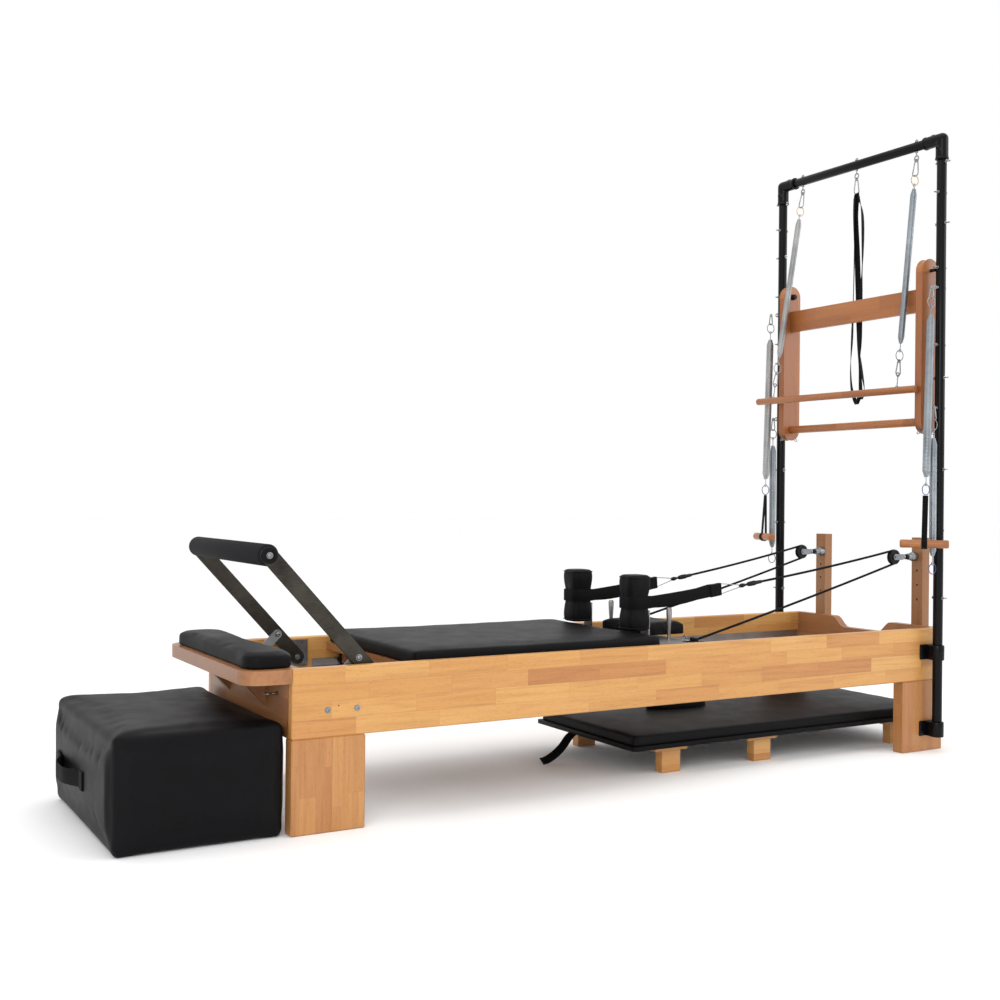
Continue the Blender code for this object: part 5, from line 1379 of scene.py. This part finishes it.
# %% [markdown]
# ## Footbar
# Two flat steel arms carry a foam-covered bar. Each arm's top is a round boss with a bolt through it. The
# strut is a pair of links with a rod between their tips, and the rod rests on the step.

# %% Footbar
FOOT_PIVOT = Vector((span("near_footbar_bracket")[0].x + 0.029, 0, 0.352))
FOOT_GRIP = middle("footbar_grip")
ARM_HIGH = span("far_footbar_arm")[1]
ARM_FACES = (ARM_HIGH.y - 0.008, ARM_HIGH.y)
LINK_FACES = (ARM_HIGH.y - 0.0155, ARM_HIGH.y - 0.0095)
arm_line = (FOOT_GRIP - FOOT_PIVOT).normalized()
STRUT_BOLT = FOOT_PIVOT + arm_line * 0.097
STRUT_TIP = STRUT_BOLT + Vector((math.cos(math.radians(224)), 0, math.sin(math.radians(224)))) * 0.165


def flat(point):
    return (point.x, point.z)


def across_y(side, near, far):
    return sorted((side * near, side * far))


for name, side in SIDES:
    bm = bmesh.new()
    plate(bm, stadium(flat(FOOT_PIVOT), flat(FOOT_GRIP), 0.040, 20), "Y",
          across_y(side, *ARM_FACES), 0.0009, 2)
    publish(f"{name}_arm", bm, DARK_STEEL, "footbar", (f"{name}_footbar_arm",))
    bm = bmesh.new()
    boss = Vector((FOOT_GRIP.x, side * ARM_FACES[1], FOOT_GRIP.z))
    lathe(bm, boss - Vector((0, side * 0.0004, 0)), (0, side, 0),
          ((0, 0.0205), (0.0016, 0.0205), (0.0024, 0.0196), (0.0024, 0.0118), (0.0012, 0.0112)), 48)
    publish(f"{name}_arm_boss", bm, POWDER_BLACK, "footbar")
    heads = [((FOOT_GRIP.x, side * (ARM_FACES[1] + 0.0006), FOOT_GRIP.z), (0, side, 0), (0, 0, 1)),
             ((STRUT_BOLT.x, side * ARM_FACES[1], STRUT_BOLT.z), (0, side, 0), (0, 0, 1)),
             ((STRUT_BOLT.x, side * (LINK_FACES[0] - 0.0002), STRUT_BOLT.z), (0, -side, 0), (0, 0, 1)),
             ((FOOT_PIVOT.x, side * ARM_FACES[0], FOOT_PIVOT.z), (0, -side, 0), (0, 0, 1))]
    copies(f"{name}_arm_bolts", bolt_head_template(0.0062, 0.0042), heads, STEEL, "footbar")

bm = bmesh.new()
reach = ARM_FACES[0] - 0.0004
lathe(bm, (FOOT_GRIP.x, -reach, FOOT_GRIP.z), (0, 1, 0),
      ((0, 0.0130), (0, 0.0235), (0.0015, 0.0262), (0.005, 0.0275), (reach, 0.0277),
        (2 * reach - 0.005, 0.0275),
       (2 * reach - 0.0015, 0.0262), (2 * reach, 0.0235), (2 * reach, 0.0130)), 56)
publish("foam_grip", bm, FOAM, "footbar", ("footbar_grip",), 50)
bm = bmesh.new()
for _, side in SIDES:
    plate(bm, stadium(flat(STRUT_BOLT), flat(STRUT_TIP), 0.024, 14), "Y",
          across_y(side, *LINK_FACES), 0.0007, 2)
rod(bm, (STRUT_TIP.x, -LINK_FACES[0] - 0.001, STRUT_TIP.z), (STRUT_TIP.x, LINK_FACES[0] + 0.001, STRUT_TIP.z),
    0.006, 24)
publish("strut", bm, GALVANISED, "strut", ("footbar_strut",))

# %% [markdown]
# ## Carriage fittings
# The shoulder rests are upright pads with a waist, where the strap's loop goes round. Each strap ends in
# a stitched fold that holds a steel triangle, and a swivel clip joins the triangle to the rope.

# %% Shoulder rests
REST_LEVELS = ((0.0, 0.80), (0.015, 0.90), (0.05, 0.965), (0.12, 1.0), (0.22, 0.99),
               (0.32, 0.92), (0.38, 0.875),
               (0.44, 0.86), (0.56, 0.86), (0.62, 0.875), (0.68, 0.925), (0.78, 0.995), (0.88, 1.0),
               (0.94, 0.975), (0.98, 0.90), (1.0, 0.76))
REST_HALF_X, REST_HALF_Y = 0.0385, 0.0398
REST_BACK = span("near_shoulder_rest")[1].x + 0.0012
REST_SEGMENTS = 56


def rest_outline(middle, scale, lift, swell_by=0.0):
    ring = []
    for i in range(REST_SEGMENTS):
        angle = 2 * math.pi * i / REST_SEGMENTS
        c, s = math.cos(angle), math.sin(angle)
        square = (abs(c) ** 4.5 + abs(s) ** 4.5) ** (-1 / 4.5)
        ring.append(Vector((middle.x + (REST_HALF_X * scale + swell_by) * c * square,
                            middle.y + (REST_HALF_Y * scale + swell_by) * s * square, lift)))
    return ring


def shoulder_rest(name, side):
    low, high = span(f"{name}_shoulder_rest")
    centre = Vector((REST_BACK - REST_HALF_X, side * abs((low.y + high.y) / 2), 0))
    bm = bmesh.new()
    rings = []
    for share, scale in REST_LEVELS:
        ring = rest_outline(centre, scale, low.z + (high.z - low.z) * share)
        for point in ring:
            wave = noise.noise(point * 55.0) * 0.0009 + noise.noise(point * 18.0) * 0.0012
            fold = 0.0011 * math.sin(8 * math.atan2(point.y - centre.y, point.x - centre.x)) * (
                math.exp(-((share - 0.5) / 0.16) ** 2))
            away = (point - centre).to_2d().normalized()
            point.x = min(point.x + away.x * (wave + fold), REST_BACK)
            point.y += away.y * (wave + fold)
        rings.append(ring)
    skin(bm, rings)
    made = publish(f"{name}_rest_pad", bm, LEATHERETTE, "carriage",
                   (f"{name}_shoulder_rest",), 180)
    finer = made.modifiers.new("Subdivision", "SUBSURF")
    finer.levels = finer.render_levels = 1
    bm = bmesh.new()
    for share, scale in ((0.045, 0.962), (0.955, 0.962)):
        tube(bm, rest_outline(centre, scale, low.z + (high.z - low.z) * share, 0.0008),
             0.0016, 8, closed=True)
    publish(f"{name}_rest_welt", bm, PIPING, "carriage", (), 60)
    return centre


# %% Straps, triangles and clips
STRAP_HEIGHT = 0.037


def rest_strap(name, side, centre):
    low, high = span(f"{name}_strap")
    end = Vector((high.x, side * 0.1656, 0.0))
    waist_z = low.z + STRAP_HEIGHT / 2
    end.z = high.z - STRAP_HEIGHT / 2
    ring = rest_outline(centre, 0.86, waist_z, 0.0035)
    back = sorted(ring, key=lambda p: (math.atan2(p.y - centre.y, p.x - centre.x)) % (2 * math.pi))
    back = [p for p in back if p.x < centre.x + REST_HALF_X * 0.5]
    first, last = back[0], back[-1]
    steps = 16
    outward = []
    for start, sign, sag in ((last, -1, 0.001), (first, 1, 0.016)):
        run = []
        for i in range(1, steps + 1):
            share = i / steps
            point = start.lerp(end + Vector((0, sign * 0.0028, 0)), share)
            point.z = waist_z + (end.z - waist_z) * share - sag * math.sin(math.pi * min(share * 1.15, 1.0))
            point.y += sign * 0.006 * math.sin(math.pi * share)
            run.append(point)
        outward.append(run)
    path = back + outward[0] + outward[1][::-1]
    bm = bmesh.new()
    strap(bm, path, (0, 0, 1), STRAP_HEIGHT, 0.0034, closed=True)
    publish(f"{name}_strap_band", bm, WEBBING, "carriage", (f"{name}_strap",), 50)

    heading = (end - outward[0][-4]).normalized()
    bm = bmesh.new()
    fold = [end - heading * (0.050 - 0.0125 * i) for i in range(5)]
    strap(bm, fold, (0, 0, 1), STRAP_HEIGHT + 0.002, 0.0135)
    publish(f"{name}_strap_fold", bm, WEBBING, "carriage", (), 40)
    bm = bmesh.new()
    for back_by in (0.006, 0.028, 0.044):
        for face in (-1, 1):
            seam = end - heading * back_by + Vector((0, face * 0.0071, 0))
            rod(bm, seam - Vector((0, 0, 0.0175)), seam + Vector((0, 0, 0.0175)), 0.0006, 6, 0.0002)
    publish(f"{name}_strap_stitches", bm, PIPING, "carriage")

    apex = CLIP_APEX[name]
    up = Vector((0, 0, STRAP_HEIGHT / 2 - 0.001))
    bm = bmesh.new()
    inside = end - heading * 0.004
    corners = [inside + up, apex + Vector((0.002, 0, 0.003)), apex + Vector((0.004, 0, 0)),
               apex + Vector((0.002, 0, -0.003)), inside - up]
    tube(bm, corners, 0.0014, 10, closed=True)
    publish(f"{name}_triangle", bm, STEEL, "carriage")
    line = SLEEVE_END[name] - apex
    bm = bmesh.new()
    lathe(bm, apex, line, ((-0.001, 0.0030), (0.004, 0.0062), (0.012, 0.0068), (0.020, 0.0048),
                           (0.025, 0.0034), (0.030, 0.0036), (0.034, 0.0066),
                            (0.044, 0.0078), (0.060, 0.0080),
                           (0.068, 0.0062), (0.086, 0.0056), (0.090, 0.0046)), 20)
    publish(f"{name}_clip", bm, NYLON, "carriage")


def cleat(name, side):
    """A cam cleat: a base, two toothed cams and a lead eye, on the plate's corner."""
    base = span("carriage_base")[1].x - 0.022
    y = side * 0.215
    top = span("carriage_base")[1].z + 0.0063
    bm = bmesh.new()
    block(bm, (base - 0.060, base + 0.010), (y - 0.016, y + 0.016), (top - 0.0058, top), 0.0012)
    for dy in (-0.0088, 0.0088):
        lathe(bm, (base - 0.016, y + dy, top), (0, 0, 1),
              ((0, 0.0068), (0.001, 0.0076), (0.009, 0.0076), (0.0105, 0.0064), (0.0115, 0.0040)), 18)
    publish(f"{name}_cleat", bm, NYLON, "carriage")
    places = [((base - 0.052, y, top), (0, 0, 1), (0, 1, 0))]
    copies(f"{name}_cleat_eye", eye_bolt_template(0.014, 0.0055, 0.0030, 0.0), places, STEEL, "carriage")


for name, side in SIDES:
    rest_strap(name, side, shoulder_rest(name, side))
    cleat(name, side)

# %% Carriage wheels
def wheelset(name):
    low, high = span(f"{name}_wheelset")
    centre = (low + high) / 2
    bm = bmesh.new()
    rod(bm, (centre.x, low.y + 0.0150, centre.z), (centre.x, high.y - 0.0150, centre.z), 0.005, 20)
    publish(f"{name}_axle", bm, STEEL, f"{name}_wheels")
    bm = bmesh.new()
    for _, side in SIDES:
        lathe(bm, (centre.x, side * (high.y - 0.0150), centre.z), (0, side, 0),
              ((0, 0.0060), (0, 0.0110), (0.002, 0.0120), (0.002, 0.0190), (0, 0.0200), (0.0005, 0.0232),
               (0.0020, 0.0240), (0.0130, 0.0240), (0.0145, 0.0232), (0.0150, 0.0200), (0.0130, 0.0190),
               (0.0130, 0.0090), (0.0150, 0.0080), (0.0150, 0.0030)), 40)
    publish(f"{name}_wheels_pair", bm, NYLON, f"{name}_wheels", (f"{name}_wheelset",))


for name in ("front", "rear"):
    wheelset(name)

# %% [markdown]
# Five springs join the carriage to the spring bar. They stretch as it rolls, so each one is a mesh of its
# own, not attached to any body.

# %% Carriage springs
BAR_LOW, BAR_HIGH = span("spring_bar")
SPRING_Z = (BAR_LOW.z + BAR_HIGH.z) / 2
SPRING_START, SPRING_END = BAR_HIGH.x + 0.004, 0.842
for i in range(5):
    y = -0.160 + 0.080 * i
    tip = (SPRING_START, y, SPRING_Z)
    end = (SPRING_END, y, SPRING_Z)
    coil = coil_spring(f"carriage_spring_{i + 1}", tip, end, 0.0115, SPRING_GREY, None, 0.0034, 0.0046)
    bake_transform(coil)

# %% [markdown]
# ## Small hardware and loose straps
# Bolts hold the rails to the legs. Screw eyes wait under the push-through arms and at the foot board. The
# sitting box has a webbing handle. The floor mat has one strap that hangs from its end to the floor and
# another that lies folded on its cover.

# %% Rail bolts, screw eyes and bumper
places = [((x, side * HALF_WIDTH, 0.303), (0, side, 0), (0, 0, 1))
          for _, side in SIDES for x in (0.0933, 0.1722)]
copies("rail_bolts", bolt_head_template(0.0060, 0.0034), places, GALVANISED, "frame")
bm = bmesh.new()
for _, side in SIDES:
    lathe(bm, (0.122, side * (HALF_WIDTH - 0.002), 0.3126), (0, side, 0), ((0, 0.0018), (0.0022, 0.0018)), 12)
publish("rail_pin_holes", bm, NYLON, "frame")
copies("foot_board_eye", eye_bolt_template(0.026, 0.0085, 0.0042, 0.0),
       [((0.0, -0.238, 0.338), (-1, 0, 0), (0, 1, 0))],
       STEEL, "frame")
bm = bmesh.new()
block(bm, (-0.020, 0.0), (-0.128, -0.086), (0.345, 0.3735), 0.003)
publish("foot_board_bumper", bm, NYLON, "frame")
low, high = span("near_push_arm")
places = []
for _, side in SIDES:
    y = side * abs((low.y + high.y) / 2)
    for lean in (-1, 1):
        places.append((((low.x + high.x) / 2 + lean * 0.0245, y, low.z + 0.0110), (lean, 0, -1.1), (0, 1, 0)))
copies("push_arm_eyes", eye_bolt_template(0.0150, 0.0070, 0.0026, 0.0), places,
       STEEL, "push_through_bar")

# %% Box handle and mat straps
low, high = span("box_handle")
face_x = span("sitting_box")[0].x
z = (low.z + high.z) / 2
path = smooth_path([(face_x - 0.0016, low.y, z), (face_x - 0.0017, low.y + 0.030, z),
                    (face_x - 0.0120, low.y + 0.060, z - 0.001), (low.x + 0.0035, low.y + 0.105, z - 0.002),
                    (low.x + 0.0020, (low.y + high.y) / 2, z - 0.003),
                    (low.x + 0.0035, high.y - 0.105, z - 0.002), (face_x - 0.0120, high.y - 0.060, z - 0.001),
                    (face_x - 0.0017, high.y - 0.030, z), (face_x - 0.0016, high.y, z)], 6)
bm = bmesh.new()
strap(bm, path, (0, 0, 1), 0.040, 0.0032)
publish("box_handle_band", bm, WEBBING, "sitting_box", ("box_handle",), 50)
bm = bmesh.new()
for edge, sign in ((low.y, 1), (high.y, -1)):
    y = sorted((edge - sign * 0.003, edge + sign * 0.031))
    block(bm, (face_x - 0.0052, face_x + 0.001), y, (z - 0.0235, z + 0.0235), 0.0012)
publish("box_handle_tabs", bm, WEBBING, "sitting_box", (), 50)

low, high = span("mat_cushion")
bm = bmesh.new()
plate_low = low.z - 0.0093
COVER_INSET = 0.0006
block(bm, (low.x + COVER_INSET, high.x - COVER_INSET), (low.y + COVER_INSET, high.y - COVER_INSET),
      (plate_low - 0.0008, low.z + 0.004), 0.0015)
publish("mat_base_cover", bm, LEATHERETTE, "floor_mat")

HANG_WIDTH, HANG_THICK = 0.026, 0.0024
HANG_PATH = smooth_path([(1.150, 0.106, plate_low - 0.0030), (1.122, 0.103, plate_low - 0.0035),
                         (1.100, 0.100, 0.070), (1.072, 0.094, 0.044), (1.038, 0.086, 0.024),
                         (1.005, 0.078, 0.0125), (0.982, 0.073, 0.0105)], 6)
twists = [min(1.0, i / (len(HANG_PATH) * 0.45)) for i in range(len(HANG_PATH))]
ways = [Vector((0.0, -1.0, 0.0)).lerp(Vector((0.62, -0.50, -0.55)), twist) for twist in twists]
bm = bmesh.new()
strap(bm, HANG_PATH, ways, HANG_WIDTH, HANG_THICK)
publish("mat_hanging_strap", bm, WEBBING, "floor_mat", (), 50)
bm = bmesh.new()
top = high.z + 0.0015
FOLD_WIDTH, FOLD_THICK = 0.018, 0.0022
FOLD_STEPS, FOLD_TURNS = 56, 1.9
loop = []
for i in range(FOLD_STEPS):
    angle = 2 * math.pi * i / FOLD_STEPS * FOLD_TURNS
    grow = 1.0 - 0.10 * i / FOLD_STEPS
    loop.append((1.548 + 0.125 * grow * math.cos(angle), 0.118 + 0.046 * grow * math.sin(angle),
                 top + 0.008 + 0.002 * math.sin(angle * 0.5)))
loop += [(1.60 + 0.03 * i, 0.150 + 0.012 * i, top + 0.008 - 0.0015 * i) for i in range(1, 3)]
strap(bm, loop, (0.1, 0.25, 1.0), FOLD_WIDTH, FOLD_THICK)
publish("mat_folded_strap", bm, WEBBING, "floor_mat", (), 50)

# %% [markdown]
# ## Floor, light and camera
# A pale floor, an even white surround and three large soft lamps give the plain light of a studio. The
# camera stands off the foot end, at waist height, and looks level across the near rail.

# %% Studio
FLOOR_SIZE = 40.0
FLOOR_DROP = 0.0005


def studio_floor():
    bm = bmesh.new()
    bmesh.ops.create_grid(bm, x_segments=1, y_segments=1, size=FLOOR_SIZE)
    mesh = bpy.data.meshes.new("studio_floor")
    bm.to_mesh(mesh)
    bm.free()
    obj = bpy.data.objects.new("studio_floor", mesh)
    bpy.context.scene.collection.objects.link(obj)
    obj.location.z = -FLOOR_DROP
    finish, _, shader = new_finish("pale_floor", 0.9, Specular_IOR_Level=0.1)
    shader.inputs["Base Color"].default_value = srgb("#FFFFFF")
    mesh.materials.append(finish)


def soft_lamp(name, place, target, size, power):
    lamp = bpy.data.lights.new(name, "AREA")
    lamp.shape = "RECTANGLE"
    lamp.size, lamp.size_y = size
    lamp.energy = power
    obj = bpy.data.objects.new(name, lamp)
    bpy.context.scene.collection.objects.link(obj)
    obj.location = at(*place)
    obj.rotation_euler = (at(*target) - obj.location).to_track_quat("-Z", "Y").to_euler()


studio_floor()
soft_lamp("lamp_over", (0.9, -0.2, 4.2), (1.0, 0.0, 0.3), (4.5, 3.0), 40)
soft_lamp("lamp_front", (-2.6, -4.2, 2.6), (1.0, 0.0, 0.5), (3.0, 2.4), 84)
soft_lamp("lamp_head_end", (4.8, -2.6, 2.4), (1.6, 0.0, 0.7), (2.2, 2.4), 40)
world = bpy.data.worlds.new("white_surround")
world.use_nodes = True
world.node_tree.nodes["Background"].inputs["Color"].default_value = (1.0, 1.0, 1.0, 1.0)
world.node_tree.nodes["Background"].inputs["Strength"].default_value = 1.0
bpy.context.scene.world = world
bpy.context.scene.view_settings.view_transform = "Standard"

# %% Camera
CAMERA_PLACE = (-1.0767, -3.1741, 0.8292)
CAMERA_YAW = 0.5283
CAMERA_PITCH = 0.0025
CAMERA_ROLL = 0.0099
LENS_LENGTH = 44.21
SENSOR_WIDTH = 36.0
forward = Vector((math.sin(CAMERA_YAW) * math.cos(CAMERA_PITCH),
                  math.cos(CAMERA_YAW) * math.cos(CAMERA_PITCH), math.sin(CAMERA_PITCH)))
level = Vector((math.cos(CAMERA_YAW), -math.sin(CAMERA_YAW), 0.0))
upward = level.cross(forward)
right = level * math.cos(CAMERA_ROLL) + upward * math.sin(CAMERA_ROLL)
top = upward * math.cos(CAMERA_ROLL) - level * math.sin(CAMERA_ROLL)
lens = bpy.data.cameras.new("camera")
lens.lens = LENS_LENGTH
lens.sensor_width = SENSOR_WIDTH
lens.shift_x, lens.shift_y = 0.0009, -0.004
camera = bpy.data.objects.new("camera", lens)
bpy.context.scene.collection.objects.link(camera)
camera.matrix_world = Matrix.Translation(at(*CAMERA_PLACE)) @ Matrix(
    (right, top, -forward)).transposed().to_4x4()
bpy.context.scene.camera = camera
